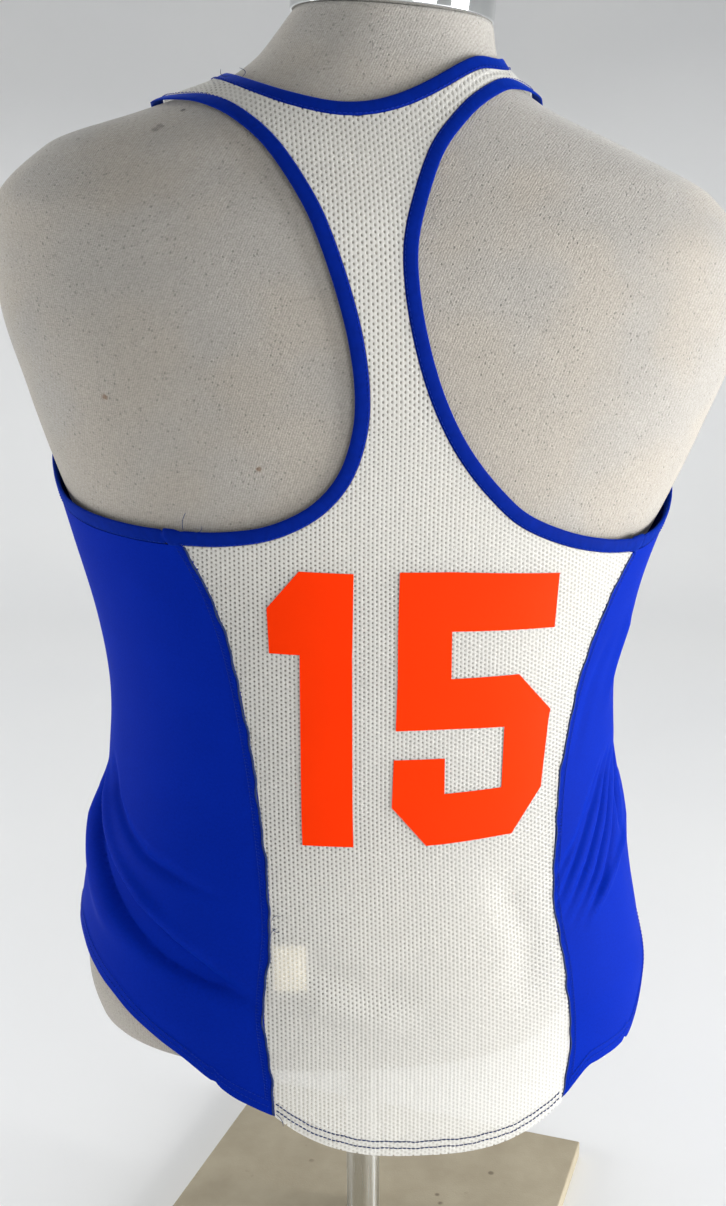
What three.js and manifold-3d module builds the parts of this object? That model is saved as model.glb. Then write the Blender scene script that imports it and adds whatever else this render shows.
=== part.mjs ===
// A racerback volleyball jersey worn by a limbless tabletop dress form.
// Millimetres, +Z up. The origin is the centre of the base plate's underside. The back of the
// jersey faces -Y and the wearer's left side is -X.
import * as THREE from "three";
import Module from "manifold-3d";
import { mergeVertices } from "three/addons/utils/BufferGeometryUtils.js";

// ---------------------------------------------------------------- driving dimensions
const GAP = 0.3; // clearance between neighbouring solids
const PLATE = { side: 250, thickness: 12, turn: -29 }; // turned about the pole, in degrees
const POLE = { radius: 11, sides: 32, sunk: 60 }; // sunk: how far it runs up inside the form
const NECK_CAP = { radius: 57, height: 22, bevel: 2, crown: 6, sides: 40 };
const LEAN = { degrees: 4, pivotZ: 470 }; // the form leans towards +X on its pole
const WALL = 1.2; // knitted panels
const BINDING = { width: 8, thickness: 2.4 };
const NUMERAL = { lift: 0.7, thickness: 1 };
const LABEL = { depth: 1.2, thickness: 0.8 };

// The form's sections, from the bottom board to the top of the neck, in the form's own frame.
const FORM_SECTIONS = [
  { z: 172, halfWidth: 130, back: 82, front: 78, shift: 0 },
  { z: 181, halfWidth: 148, back: 98, front: 92, shift: 0 },
  { z: 212, halfWidth: 156, back: 108, front: 98, shift: 0 },
  { z: 290, halfWidth: 150, back: 102, front: 92, shift: 0 },
  { z: 370, halfWidth: 126, back: 82, front: 84, shift: 0 },
  { z: 440, halfWidth: 146, back: 88, front: 98, shift: 0 },
  { z: 500, halfWidth: 175, back: 98, front: 116, shift: 0 },
  { z: 560, halfWidth: 199, back: 103, front: 112, shift: 0 },
  { z: 610, halfWidth: 215, back: 100, front: 92, shift: 0 },
  { z: 655, halfWidth: 218, back: 92, front: 74, shift: 0 },
  { z: 690, halfWidth: 191, back: 78, front: 58, shift: 0 },
  { z: 712, halfWidth: 139, back: 68, front: 50, shift: -1 },
  { z: 732, halfWidth: 89, back: 60, front: 50, shift: -6 },
  { z: 750, halfWidth: 66, back: 55, front: 50, shift: -9 },
  { z: 772, halfWidth: 55, back: 50, front: 50, shift: -5 },
];
const FORM_MESH = { sides: 36, levelHeight: 20, widthStep: 14 }; // largest steps between rings
const ROUNDNESS = 2.3; // exponent of every section's superellipse

// The jersey's loose tube, which hangs plumb from the shoulder blades and the bust.
const JERSEY_SECTIONS = [
  { z: 120, halfWidth: 173, back: 120, front: 106, shift: 6 },
  { z: 205, halfWidth: 178, back: 119, front: 106, shift: 6 },
  { z: 232, halfWidth: 175, back: 117, front: 106, shift: 4 },
  { z: 270, halfWidth: 168, back: 112, front: 106, shift: 3 },
  { z: 312, halfWidth: 161, back: 106, front: 107, shift: 2 },
  { z: 352, halfWidth: 155, back: 102, front: 109, shift: 1 },
  { z: 390, halfWidth: 153, back: 102, front: 112, shift: 1 },
  { z: 440, halfWidth: 161, back: 102, front: 115, shift: 4 },
  { z: 500, halfWidth: 171, back: 97, front: 114, shift: 4 },
  { z: 560, halfWidth: 146, back: 82, front: 88, shift: 0 },
  { z: 600, halfWidth: 60, back: 40, front: 40, shift: 0 },
];
const EASE = 2.5; // the cloth's inner face stands this far off the form
const MELD = 24; // sharpness of the join between form and tube
const BEND = { z: 640, radius: 90 }; // above z the panels wrap over the shoulder on this radius
const CREST = BEND.z + (BEND.radius * Math.PI) / 2; // height along the cloth of the shoulder seam
const RAY = { reach: 320, halvings: 40 }; // how far out and how finely the surface is looked for
const SLOPE_STEP = 0.5; // step each way for the surface's normal
const ROW_STEP = 0.02; // step each way for an outline's direction, in rows

// Places on the white panels are (x, s): x across, s up along the cloth.
const BACK_SEAM = [
  { z: 150, left: -70, right: 101 },
  { z: 186, left: -72, right: 106 },
  { z: 230, left: -76, right: 103 },
  { z: 283, left: -71, right: 95 },
  { z: 341, left: -74, right: 99 },
  { z: 405, left: -82, right: 111 },
  { z: 436, left: -88, right: 121 },
  { z: 463, left: -96, right: 135 },
  { z: 483, left: -105, right: 147 },
  { z: 500, left: -115, right: 153 },
];
const BACK_HEM = { left: 166, right: 152, dip: 23 };

// The middle line of the back armhole bindings, from the side seam up to the shoulder seam.
// rise: how far the panel's cross line bows up between the two armholes.
const BACK_ARMHOLES = [
  { leftX: -113, leftS: 499, rightX: 146, rightS: 483, rise: 0 },
  { leftX: -93, leftS: 499, rightX: 124, rightS: 486, rise: 3 },
  { leftX: -70, leftS: 502, rightX: 98, rightS: 493, rise: 7 },
  { leftX: -50, leftS: 510, rightX: 72, rightS: 505, rise: 12 },
  { leftX: -36, leftS: 521, rightX: 54, rightS: 521, rise: 16 },
  { leftX: -26, leftS: 536, rightX: 39, rightS: 539, rise: 17 },
  { leftX: -20, leftS: 557, rightX: 28, rightS: 557, rise: 14 },
  { leftX: -19, leftS: 578, rightX: 19, rightS: 578, rise: 9 },
  { leftX: -22, leftS: 603, rightX: 12, rightS: 603, rise: 6 },
  { leftX: -28, leftS: 628, rightX: 8, rightS: 628, rise: 5 },
  { leftX: -35, leftS: 650, rightX: 8, rightS: 650, rise: 5 },
  { leftX: -44, leftS: 672, rightX: 14, rightS: 672, rise: 8 },
  { leftX: -59, leftS: 699, rightX: 26, rightS: 699, rise: 14 },
  { leftX: -76, leftS: 720, rightX: 43, rightS: 718, rise: 0 },
  { leftX: -93, leftS: 738, rightX: 65, rightS: 735, rise: 0 },
  { leftX: -109, leftS: 757, rightX: 91, rightS: 756, rise: 0 },
  { leftX: -115, leftS: CREST, rightX: 102, rightS: CREST, rise: 0 },
];
const BACK_YOKE = 12; // the row where the cross line meets the bottom of the neckline
const BACK_NECK = [
  { leftX: -15, leftS: 717, rightX: -15, rightS: 717 },
  { leftX: -35, leftS: 718, rightX: 6, rightS: 719 },
  { leftX: -56, leftS: 727, rightX: 30, rightS: 730 },
  { leftX: -71, leftS: 741, rightX: 52, rightS: 740 },
  { leftX: -79, leftS: 758, rightX: 71, rightS: 753 },
  { leftX: -82, leftS: CREST, rightX: 83, rightS: CREST },
];

// The front is even on both sides of x = FRONT_MIDDLE, apart from each row's slip of the straps.
const FRONT_MIDDLE = 0.5;
const FRONT_SEAM = [
  { z: 160, half: 93 },
  { z: 200, half: 92 },
  { z: 260, half: 90 },
  { z: 330, half: 91 },
  { z: 390, half: 97 },
  { z: 450, half: 106 },
  { z: 500, half: 118 },
  { z: 556, half: 132 },
];
const FRONT_HEM = { side: 186, dip: 30 };
const FRONT_ARMHOLE = [
  { half: 131, s: 552, slip: 0, rise: 0 },
  { half: 122, s: 561, slip: 0, rise: 1 },
  { half: 115, s: 578, slip: 0, rise: 4 },
  { half: 111, s: 597, slip: 0, rise: 6 },
  { half: 106, s: 625, slip: 0, rise: 14 },
  { half: 105, s: 655, slip: 0, rise: 0 },
  { half: 106, s: 700, slip: -1, rise: 0 },
  { half: 107, s: 735, slip: -4, rise: 0 },
  { half: 108, s: 760, slip: -6, rise: 0 },
  { half: 108.5, s: CREST, slip: -7, rise: 0 },
];
const FRONT_YOKE = 4;
const FRONT_NECK = [
  { half: 0, s: 644 },
  { half: 27, s: 648 },
  { half: 49, s: 665 },
  { half: 63, s: 695 },
  { half: 74, s: 735 },
  { half: 82.5, s: CREST },
];

// The side panels' upper binding and hem, from the back seam (way 0) round to the front (way 1).
const SIDE_PANELS = [
  { way: 0, leftTop: 499, leftHem: 166, rightTop: 483, rightHem: 152 },
  { way: 0.08, leftTop: 500, leftHem: 181, rightTop: 485, rightHem: 168 },
  { way: 0.2, leftTop: 503, leftHem: 203, rightTop: 493, rightHem: 178 },
  { way: 0.35, leftTop: 509, leftHem: 226, rightTop: 507, rightHem: 206 },
  { way: 0.5, leftTop: 521, leftHem: 243, rightTop: 523, rightHem: 234 },
  { way: 0.65, leftTop: 534, leftHem: 246, rightTop: 536, rightHem: 244 },
  { way: 0.8, leftTop: 545, leftHem: 226, rightTop: 546, rightHem: 226 },
  { way: 1, leftTop: 552, leftHem: 186, rightTop: 552, rightHem: 186 },
];

// Cells of each sheet. Neighbours share the counts along their common seam.
const CELLS = { across: 14, seam: 15, side: 12, perBackArmRow: 1, perFrontArmRow: 2, perNeckRow: 3 };

// Numerals and label, each a set of four-cornered patches of [x, s] corners.
const NUMERAL_ONE = [
  [[-52, 327], [-24, 325], [-24, 381], [-52, 382]],
  [[-52, 382], [-24, 381], [-24, 436], [-52, 436]],
  [[-52, 436], [-24, 436], [-23, 480], [-52, 482]],
  [[-68, 437], [-52, 436], [-52, 482], [-69, 462]],
];
const NUMERAL_FIVE = [
  [[1, 446], [31, 446], [31, 479], [2, 480]],
  [[31, 446], [92, 443], [94, 474], [31, 479]],
  [[1, 419], [31, 419], [31, 446], [1, 446]],
  [[0, 391], [31, 390], [31, 419], [1, 419]],
  [[31, 390], [63, 388], [71, 418], [31, 419]],
  [[63, 388], [91, 388], [92, 394], [71, 418]],
  [[62, 352], [87, 348], [91, 388], [63, 388]],
  [[62, 324], [68, 324], [87, 348], [62, 352]],
  [[28, 323], [62, 324], [62, 352], [28, 352]],
  [[17, 323], [28, 323], [28, 352], [-2, 346]],
  [[-2, 346], [28, 352], [28, 373], [-1, 374]],
];
const CARE_LABEL = [[[-70, 244], [-52, 244], [-52, 270], [-70, 270]]];
const PATCH_CELLS = 3;

// ---------------------------------------------------------------- numbers and curves
const radians = (degrees) => (degrees * Math.PI) / 180;
const lerp = THREE.MathUtils.lerp;
const count = (n, make) => Array.from({ length: n + 1 }, (_, k) => make(k, k / n));

// A smooth curve through a table's column against its first column (cubic, slopes limited).
function column(rows, at, key, value) {
  const last = rows.length - 1;
  if (value <= rows[0][at]) return rows[0][key];
  if (value >= rows[last][at]) return rows[last][key];
  let i = 0;
  while (value > rows[i + 1][at]) i++;
  const rise = (k) => (rows[k + 1][key] - rows[k][key]) / (rows[k + 1][at] - rows[k][at]);
  const slope = (k) => {
    if (k === 0) return rise(0);
    if (k === last) return rise(last - 1);
    const before = rise(k - 1);
    const after = rise(k);
    return before * after <= 0 ? 0 : (2 * before * after) / (before + after);
  };
  const span = rows[i + 1][at] - rows[i][at];
  const t = (value - rows[i][at]) / span;
  const ease = t * t * (3 - 2 * t);
  const bow = span * t * (1 - t) * (slope(i) * (1 - t) - slope(i + 1) * t);
  return lerp(rows[i][key], rows[i + 1][key], ease) + bow;
}

// A smooth curve through a table's column by row number (Catmull-Rom).
function along(rows, key, row) {
  const last = rows.length - 1;
  const i = Math.min(Math.floor(row), last - 1);
  const t = row - i;
  const value = (k) => {
    if (k < 0) return 2 * rows[0][key] - rows[1][key];
    if (k > last) return 2 * rows[last][key] - rows[last - 1][key];
    return rows[k][key];
  };
  const [a, b, c, d] = [value(i - 1), value(i), value(i + 1), value(i + 2)];
  return b + (t / 2) * (c - a + t * (2 * a - 5 * b + 4 * c - d + t * (3 * (b - c) + d - a)));
}

// ---------------------------------------------------------------- meshes
function geometryOf(points, faces) {
  const geometry = new THREE.BufferGeometry();
  const numbers = points.flatMap((p) => [p.x, p.y, p.z]);
  geometry.setAttribute("position", new THREE.Float32BufferAttribute(numbers, 3));
  geometry.setIndex(faces.flat());
  return geometry;
}

// A closed solid from rings of equal length, from the lowest up, capped at both ends.
function loft(rings) {
  const sides = rings[0].length;
  const points = rings.flat();
  const faces = [];
  rings.slice(1).forEach((_, level) => {
    for (let k = 0; k < sides; k++) {
      const a = level * sides + k;
      const b = level * sides + ((k + 1) % sides);
      faces.push([a, b, b + sides], [a, b + sides, a + sides]);
    }
  });
  const middle = (ring) => ring.reduce((sum, p) => sum.add(p), new THREE.Vector3()).divideScalar(sides);
  points.push(middle(rings[0]), middle(rings.at(-1)));
  const top = (rings.length - 1) * sides;
  for (let k = 0; k < sides; k++) {
    const next = (k + 1) % sides;
    faces.push([points.length - 2, next, k], [points.length - 1, top + k, top + next]);
  }
  return geometryOf(points, faces);
}

// A wall made from a sheet: its four-cornered cells are moved out along their normals by lift
// and by lift + thickness, and every open edge gets a rim. A cell's corners are spots, and it
// is split along its shorter diagonal.
function wall(cells, lift, thickness) {
  const spots = [...new Set(cells.flat())];
  const number = new Map(spots.map((spot, k) => [spot, k]));
  const moved = (by) => spots.map((spot) => spot.place.clone().addScaledVector(spot.normal, by));
  const points = [...moved(lift), ...moved(lift + thickness)];
  const faces = [];
  const open = new Map();
  const n = spots.length;
  const span = (from, to) => spots[from].place.distanceTo(spots[to].place);
  for (const cell of cells) {
    let [a, b, c, d] = cell.map((spot) => number.get(spot));
    if (span(b, d) < span(a, c)) [a, b, c, d] = [b, c, d, a];
    faces.push([n + a, n + b, n + c], [n + a, n + c, n + d], [a, c, b], [a, d, c]);
    for (const [from, to] of [[a, b], [b, c], [c, d], [d, a]]) {
      if (!open.delete(`${to} ${from}`)) open.set(`${from} ${to}`, [from, to]);
    }
  }
  for (const [from, to] of open.values()) {
    faces.push([from, to, to + n], [from, to + n, from + n]);
  }
  return geometryOf(points, faces);
}

// The cells between neighbouring rows of spots, turned so that they face outwards.
function cellsOf(rows, flip = false) {
  const cells = [];
  rows.slice(1).forEach((upper, i) => {
    const lower = rows[i];
    for (let k = 0; k + 1 < lower.length; k++) {
      const cell = [lower[k], lower[k + 1], upper[k + 1], upper[k]];
      cells.push(flip ? cell.reverse() : cell);
    }
  });
  return cells;
}

// ---------------------------------------------------------------- the form
const leanAxis = new THREE.Vector3(0, 1, 0);
const leanPivot = new THREE.Vector3(0, 0, LEAN.pivotZ);
const leaned = (p, times = 1) =>
  p.clone().sub(leanPivot).applyAxisAngle(leanAxis, radians(LEAN.degrees) * times).add(leanPivot);

function formRing(z) {
  const power = (v) => Math.sign(v) * Math.abs(v) ** (2 / ROUNDNESS);
  const value = (key) => column(FORM_SECTIONS, "z", key, z);
  return count(FORM_MESH.sides - 1, (k) => {
    const angle = (2 * Math.PI * k) / FORM_MESH.sides;
    const across = power(Math.sin(angle));
    const deep = -power(Math.cos(angle)) * value(Math.cos(angle) > 0 ? "back" : "front");
    return leaned(new THREE.Vector3(value("shift") + across * value("halfWidth"), deep, z));
  });
}

function formRings() {
  const rings = [formRing(FORM_SECTIONS[0].z)];
  FORM_SECTIONS.slice(1).forEach((row, i) => {
    const below = FORM_SECTIONS[i];
    const levels = (row.z - below.z) / FORM_MESH.levelHeight;
    const widenings = Math.abs(row.halfWidth - below.halfWidth) / FORM_MESH.widthStep;
    const steps = Math.ceil(Math.max(levels, widenings));
    for (let k = 1; k <= steps; k++) rings.push(formRing(lerp(below.z, row.z, k / steps)));
  });
  return rings;
}

// ---------------------------------------------------------------- the cloth's surface
// 1 on the sections' surface, less inside, growing evenly outwards.
function gauge(sections, p, ease) {
  const z = p.z - ease;
  if (z < sections[0].z || z > sections.at(-1).z) return Infinity;
  const value = (key) => column(sections, "z", key, z);
  const across = Math.abs(p.x - value("shift")) / (value("halfWidth") + ease);
  const depth = Math.abs(p.y) / (value(p.y < 0 ? "back" : "front") + ease);
  return (across ** ROUNDNESS + depth ** ROUNDNESS) ** (1 / ROUNDNESS);
}

function clothGauge(p) {
  const form = gauge(FORM_SECTIONS, leaned(p, -1), EASE);
  const tube = gauge(JERSEY_SECTIONS, p, 0);
  return (form ** -MELD + tube ** -MELD) ** (-1 / MELD);
}

// The spot where a ray from inside the wearer's form meets the cloth's inner face.
function spotOn(origin, direction) {
  let inside = 0;
  let outside = RAY.reach;
  for (let k = 0; k < RAY.halvings; k++) {
    const middle = (inside + outside) / 2;
    if (clothGauge(origin.clone().addScaledVector(direction, middle)) < 1) inside = middle;
    else outside = middle;
  }
  const place = origin.clone().addScaledVector(direction, inside);
  const slope = (axis) => {
    const step = new THREE.Vector3().setComponent(axis, SLOPE_STEP);
    return clothGauge(place.clone().add(step)) - clothGauge(place.clone().sub(step));
  };
  return { place, normal: new THREE.Vector3(slope(0), slope(1), slope(2)).normalize() };
}

const BACK = -1;
const FRONT = 1;
function spotFlat([x, s], face) {
  const bend = Math.max(0, (s - BEND.z) / BEND.radius);
  const origin = new THREE.Vector3(x, 0, Math.min(s, BEND.z));
  return spotOn(origin, new THREE.Vector3(0, face * Math.cos(bend), Math.sin(bend)));
}

function spotRound(angle, z) {
  return spotOn(new THREE.Vector3(0, 0, z), new THREE.Vector3(Math.sin(angle), -Math.cos(angle), 0));
}

// ---------------------------------------------------------------- outlines of the white panels
// Each outline is a function of a row number that gives [x, s]. side is -1 left, 1 right.
const backArm = (side) => (row) =>
  ["X", "S"].map((axis) => along(BACK_ARMHOLES, (side < 0 ? "left" : "right") + axis, row));
const backNeck = (side) => (row) =>
  ["X", "S"].map((axis) => along(BACK_NECK, (side < 0 ? "left" : "right") + axis, row));
const frontArm = (side) => (row) => [
  FRONT_MIDDLE + along(FRONT_ARMHOLE, "slip", row) + side * along(FRONT_ARMHOLE, "half", row),
  along(FRONT_ARMHOLE, "s", row),
];
const frontNeck = (side) => (row) => [
  FRONT_MIDDLE + side * along(FRONT_NECK, "half", row),
  along(FRONT_NECK, "s", row),
];

// A point beside an outline on a face, at a distance along the cloth towards the panel (or away,
// below 0). turn is 1 where the panel lies on the right of the outline's way up. Outlines start
// level (at the side seam, or at the neckline's lowest point) and cross the crest squarely.
function beside(outline, row, distance, turn, face) {
  const [x, s] = outline(row);
  if (row === 0) return [x, s - distance];
  let way = [turn, 0];
  if (s < CREST - GAP) {
    const [x0, s0] = outline(Math.max(0, row - ROW_STEP));
    const [x1, s1] = outline(row + ROW_STEP);
    const length = Math.hypot(x1 - x0, s1 - s0);
    way = [(turn * (s1 - s0)) / length, (-turn * (x1 - x0)) / length];
  }
  const at = (by) => [x + way[0] * by, s + way[1] * by];
  const reach = spotFlat(at(0), face).place.distanceTo(spotFlat(at(distance), face).place);
  return at((distance * Math.abs(distance)) / reach);
}
const HALF_BAND = BINDING.width / 2;
const EDGE = HALF_BAND + GAP; // from a binding's middle line to the panel's edge

// One white panel: rows from the hem up the seams, up the armholes to the yoke, and two straps.
function whitePanel(panel, face) {
  const { seam, hem, arm, neck, rise, yoke, perArmRow, armRows, neckRows } = panel;
  const cornerAt = (side, pick) => {
    const height = arm(side)(0)[1] - EDGE;
    return [seam(height)[pick] - (side * GAP) / 2, height];
  };
  const corner = { left: cornerAt(-1, 0), right: cornerAt(1, 1) };
  const rowBetween = ([x0, s0], [x1, s1], [x, s]) =>
    count(CELLS.across, (_, u) => {
      const bow = 4 * u * (1 - u);
      return [
        lerp(x0, x1, u) + bow * (x - (x0 + x1) / 2),
        lerp(s0, s1, u) + bow * (s - (s0 + s1) / 2),
      ];
    });
  const middleOf = ([x0, s0], [x1, s1], up) => [(x0 + x1) / 2, (s0 + s1) / 2 + up];
  const rows = [];
  for (let k = 0; k < CELLS.seam; k++) {
    const t = k / CELLS.seam;
    const left = lerp(hem.left, corner.left[1], t);
    const right = lerp(hem.right, corner.right[1], t);
    const a = [seam(left)[0] + GAP / 2, left];
    const b = [seam(right)[1] - GAP / 2, right];
    const fade = (1 - t) ** 3;
    rows.push(
      rowBetween(a, b, middleOf(a, b, 0)).map(([x, s], i) => {
        const way = Math.abs((2 * i) / CELLS.across - 1);
        return [x, s - hem.dip * fade * (1 - way ** 3)];
      }),
    );
  }
  const lowNeck = [neck(-1)(0)[0], neck(-1)(0)[1] - EDGE];
  const armSteps = yoke * perArmRow;
  for (let k = 0; k <= armSteps; k++) {
    const row = k / perArmRow;
    const a = k ? beside(arm(-1), row, EDGE, 1, face) : corner.left;
    const b = k ? beside(arm(1), row, EDGE, -1, face) : corner.right;
    rows.push(rowBetween(a, b, k === armSteps ? lowNeck : middleOf(a, b, rise(row))));
  }
  const body = rows.map((row) => row.map((spot) => spotFlat(spot, face)));
  const cells = cellsOf(body, face > 0);
  const centre = CELLS.across / 2;
  const strapSteps = neckRows * CELLS.perNeckRow;
  const strapEnd = CREST - GAP / 2;
  for (const side of [-1, 1]) {
    const first = side < 0 ? body.at(-1).slice(0, centre + 1) : body.at(-1).slice(centre);
    const strap = [first];
    for (let k = 1; k <= strapSteps; k++) {
      const t = k / strapSteps;
      const outer = beside(arm(side), lerp(yoke, armRows, t), EDGE, -side, face);
      const inner = beside(neck(side), neckRows * t, EDGE, side, face);
      if (k === strapSteps) outer[1] = inner[1] = strapEnd;
      const [a, b] = side < 0 ? [outer, inner] : [inner, outer];
      strap.push(count(centre, (_, u) => spotFlat([lerp(a[0], b[0], u), lerp(a[1], b[1], u)], face)));
    }
    cells.push(...cellsOf(strap, face > 0));
  }
  return cells;
}

const backPanel = {
  seam: (z) => [column(BACK_SEAM, "z", "left", z), column(BACK_SEAM, "z", "right", z)],
  hem: BACK_HEM,
  arm: backArm,
  neck: backNeck,
  rise: (row) => along(BACK_ARMHOLES, "rise", row),
  yoke: BACK_YOKE,
  perArmRow: CELLS.perBackArmRow,
  armRows: BACK_ARMHOLES.length - 1,
  neckRows: BACK_NECK.length - 1,
};
const frontPanel = {
  seam: (z) => [-1, 1].map((side) => FRONT_MIDDLE + side * column(FRONT_SEAM, "z", "half", z)),
  hem: { left: FRONT_HEM.side, right: FRONT_HEM.side, dip: FRONT_HEM.dip },
  arm: frontArm,
  neck: frontNeck,
  rise: (row) => along(FRONT_ARMHOLE, "rise", row),
  yoke: FRONT_YOKE,
  perArmRow: CELLS.perFrontArmRow,
  armRows: FRONT_ARMHOLE.length - 1,
  neckRows: FRONT_NECK.length - 1,
};

// ---------------------------------------------------------------- side panels
const angleOf = ({ place }) => Math.atan2(place.x, -place.y);

// The spot of a side panel at way (0 back seam, 1 front seam) and height.
function sideSpot(side, way, z) {
  const pick = side < 0 ? 0 : 1;
  const seamShift = side * (GAP / 2);
  const back = angleOf(spotFlat([backPanel.seam(z)[pick] + seamShift, z], BACK));
  const front = angleOf(spotFlat([frontPanel.seam(z)[pick] + seamShift, z], FRONT));
  return spotRound(lerp(back, front, way), z);
}
const sideValue = (side, key, way) =>
  column(SIDE_PANELS, "way", (side < 0 ? "left" : "right") + key, way);

function sidePanel(side) {
  const rows = count(CELLS.seam, (_, up) =>
    count(CELLS.side, (_, way) => {
      const top = sideValue(side, "Top", way) - EDGE;
      return sideSpot(side, way, lerp(sideValue(side, "Hem", way), top, up));
    }),
  );
  return cellsOf(rows, side < 0);
}

// ---------------------------------------------------------------- bindings
// A closed ring from pairs of spots across the strip.
function ring(pairs, flip) {
  return cellsOf([...pairs, pairs[0]], flip);
}

// The two spots across a binding, at a row of its outline.
function bandPair(outline, row, face, turn) {
  return [-HALF_BAND, HALF_BAND].map((by) => spotFlat(beside(outline, row, by, turn, face), face));
}

function armholePairs(side) {
  const rowsUp = ({ yoke, perArmRow, armRows, neckRows }) => [
    ...count(yoke * perArmRow, (k) => k / perArmRow),
    ...count(neckRows * CELLS.perNeckRow, (_, t) => lerp(yoke, armRows, t)).slice(1),
  ];
  const pairs = rowsUp(backPanel).map((row) => bandPair(backArm(side), row, BACK, -side));
  const down = rowsUp(frontPanel).reverse().slice(1);
  down.forEach((row) => pairs.push(bandPair(frontArm(side), row, FRONT, -side)));
  for (let k = CELLS.side - 1; k > 0; k--) {
    const way = k / CELLS.side;
    const z = sideValue(side, "Top", way);
    pairs.push([sideSpot(side, way, z + HALF_BAND), sideSpot(side, way, z - HALF_BAND)]);
  }
  return pairs;
}

function neckPairs() {
  const rows = count((BACK_NECK.length - 1) * CELLS.perNeckRow, (k) => k / CELLS.perNeckRow);
  const up = (neck, side, face) => rows.map((row) => bandPair(neck(side), row, face, side));
  return [
    ...up(backNeck, 1, BACK),
    ...up(frontNeck, 1, FRONT).reverse().slice(1),
    ...up(frontNeck, -1, FRONT).slice(1),
    ...up(backNeck, -1, BACK).reverse().slice(1, -1),
  ];
}

// ---------------------------------------------------------------- numerals and label
function patchCells(patches) {
  const spots = new Map();
  const spotAt = (x, s) => {
    const key = `${x.toFixed(2)} ${s.toFixed(2)}`;
    if (!spots.has(key)) spots.set(key, spotFlat([x, s], BACK));
    return spots.get(key);
  };
  return patches.flatMap(([a, b, c, d]) =>
    cellsOf(
      count(PATCH_CELLS, (_, v) =>
        count(PATCH_CELLS, (_, u) =>
          spotAt(...[0, 1].map((i) => lerp(lerp(a[i], b[i], u), lerp(d[i], c[i], u), v))),
        ),
      ),
    ),
  );
}

// ---------------------------------------------------------------- booleans
const MERGE = 1e-3; // vertices nearer than this are one
const wasm = await Module();
wasm.setup();
function manifoldOf(geometry) {
  const bare = new THREE.BufferGeometry();
  bare.setAttribute("position", geometry.getAttribute("position").clone());
  bare.setIndex(geometry.index);
  const merged = mergeVertices(bare, MERGE);
  return new wasm.Manifold(
    new wasm.Mesh({
      numProp: 3,
      vertProperties: new Float32Array(merged.getAttribute("position").array),
      triVerts: new Uint32Array(merged.index.array),
    }),
  );
}
function cut(geometry, tool) {
  const mesh = manifoldOf(geometry).subtract(manifoldOf(tool)).getMesh();
  const made = new THREE.BufferGeometry();
  made.setAttribute("position", new THREE.BufferAttribute(new Float32Array(mesh.vertProperties), 3));
  made.setIndex(new THREE.BufferAttribute(new Uint32Array(mesh.triVerts), 1));
  return made;
}

// ---------------------------------------------------------------- stand
const boardZ = FORM_SECTIONS[0].z;
const poleTop = boardZ + POLE.sunk;
const poleFoot = PLATE.thickness + GAP;
function upright(radius, from, to) {
  const geometry = new THREE.CylinderGeometry(radius, radius, to - from, POLE.sides);
  return geometry.rotateX(Math.PI / 2).translate(0, 0, (from + to) / 2);
}

// ---------------------------------------------------------------- materials
const finish = (color, roughness, metalness = 0) =>
  new THREE.MeshStandardMaterial({ color, roughness, metalness });
const knitCover = finish(0xc8c3b8, 0.95);
const whiteMesh = finish(0xecebe6, 0.8);
const blueKnit = finish(0x0b2cae, 0.55);
const orangeFilm = finish(0xf53c05, 0.6);
const creamSatin = finish(0xe9e0c8, 0.6);
const chrome = finish(0xb8bcc0, 0.12, 1);
const platePaint = finish(0xa59b87, 0.75);

// ---------------------------------------------------------------- the part
const part = new THREE.Group();
const form = new THREE.Group();
const jersey = new THREE.Group();
part.add(form, jersey);
function add(group, name, geometry, material) {
  const mesh = new THREE.Mesh(geometry, material);
  mesh.name = name;
  group.add(mesh);
  return mesh;
}

const plate = new THREE.BoxGeometry(PLATE.side, PLATE.side, PLATE.thickness);
const plateMesh = add(form, "base_plate", plate, platePaint);
plateMesh.position.z = PLATE.thickness / 2;
plateMesh.rotation.z = radians(PLATE.turn);
add(form, "pole", upright(POLE.radius, poleFoot, poleTop - GAP), chrome);
const bore = upright(POLE.radius + GAP, boardZ - POLE.sunk, poleTop);
add(form, "form_torso", cut(loft(formRings()), bore), knitCover);

const capProfile = [
  [0, 0],
  [NECK_CAP.radius, 0],
  [NECK_CAP.radius, NECK_CAP.height - NECK_CAP.bevel],
  [NECK_CAP.radius - NECK_CAP.bevel, NECK_CAP.height],
  [0, NECK_CAP.height + NECK_CAP.crown],
].map(([x, y]) => new THREE.Vector2(x, y));
const cap = add(form, "neck_cap", new THREE.LatheGeometry(capProfile, NECK_CAP.sides), chrome);
const neckTop = FORM_SECTIONS.at(-1);
cap.position.copy(leaned(new THREE.Vector3(neckTop.shift, 0, neckTop.z + GAP)));
cap.rotation.set(Math.PI / 2, radians(LEAN.degrees), 0, "YXZ");

const bindingLift = (WALL - BINDING.thickness) / 2; // a binding wraps both faces of the panel's edge
add(jersey, "back_panel", wall(whitePanel(backPanel, BACK), 0, WALL), whiteMesh);
add(jersey, "front_panel", wall(whitePanel(frontPanel, FRONT), 0, WALL), whiteMesh);
for (const [name, sign] of Object.entries({ left: -1, right: 1 })) {
  add(jersey, `side_panel_${name}`, wall(sidePanel(sign), 0, WALL), blueKnit);
  const strip = ring(armholePairs(sign), sign > 0);
  add(jersey, `armhole_binding_${name}`, wall(strip, bindingLift, BINDING.thickness), blueKnit);
}
add(jersey, "neck_binding", wall(ring(neckPairs(), false), bindingLift, BINDING.thickness), blueKnit);
const numeralLift = WALL + NUMERAL.lift;
add(jersey, "numeral_1", wall(patchCells(NUMERAL_ONE), numeralLift, NUMERAL.thickness), orangeFilm);
add(jersey, "numeral_5", wall(patchCells(NUMERAL_FIVE), numeralLift, NUMERAL.thickness), orangeFilm);
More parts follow.
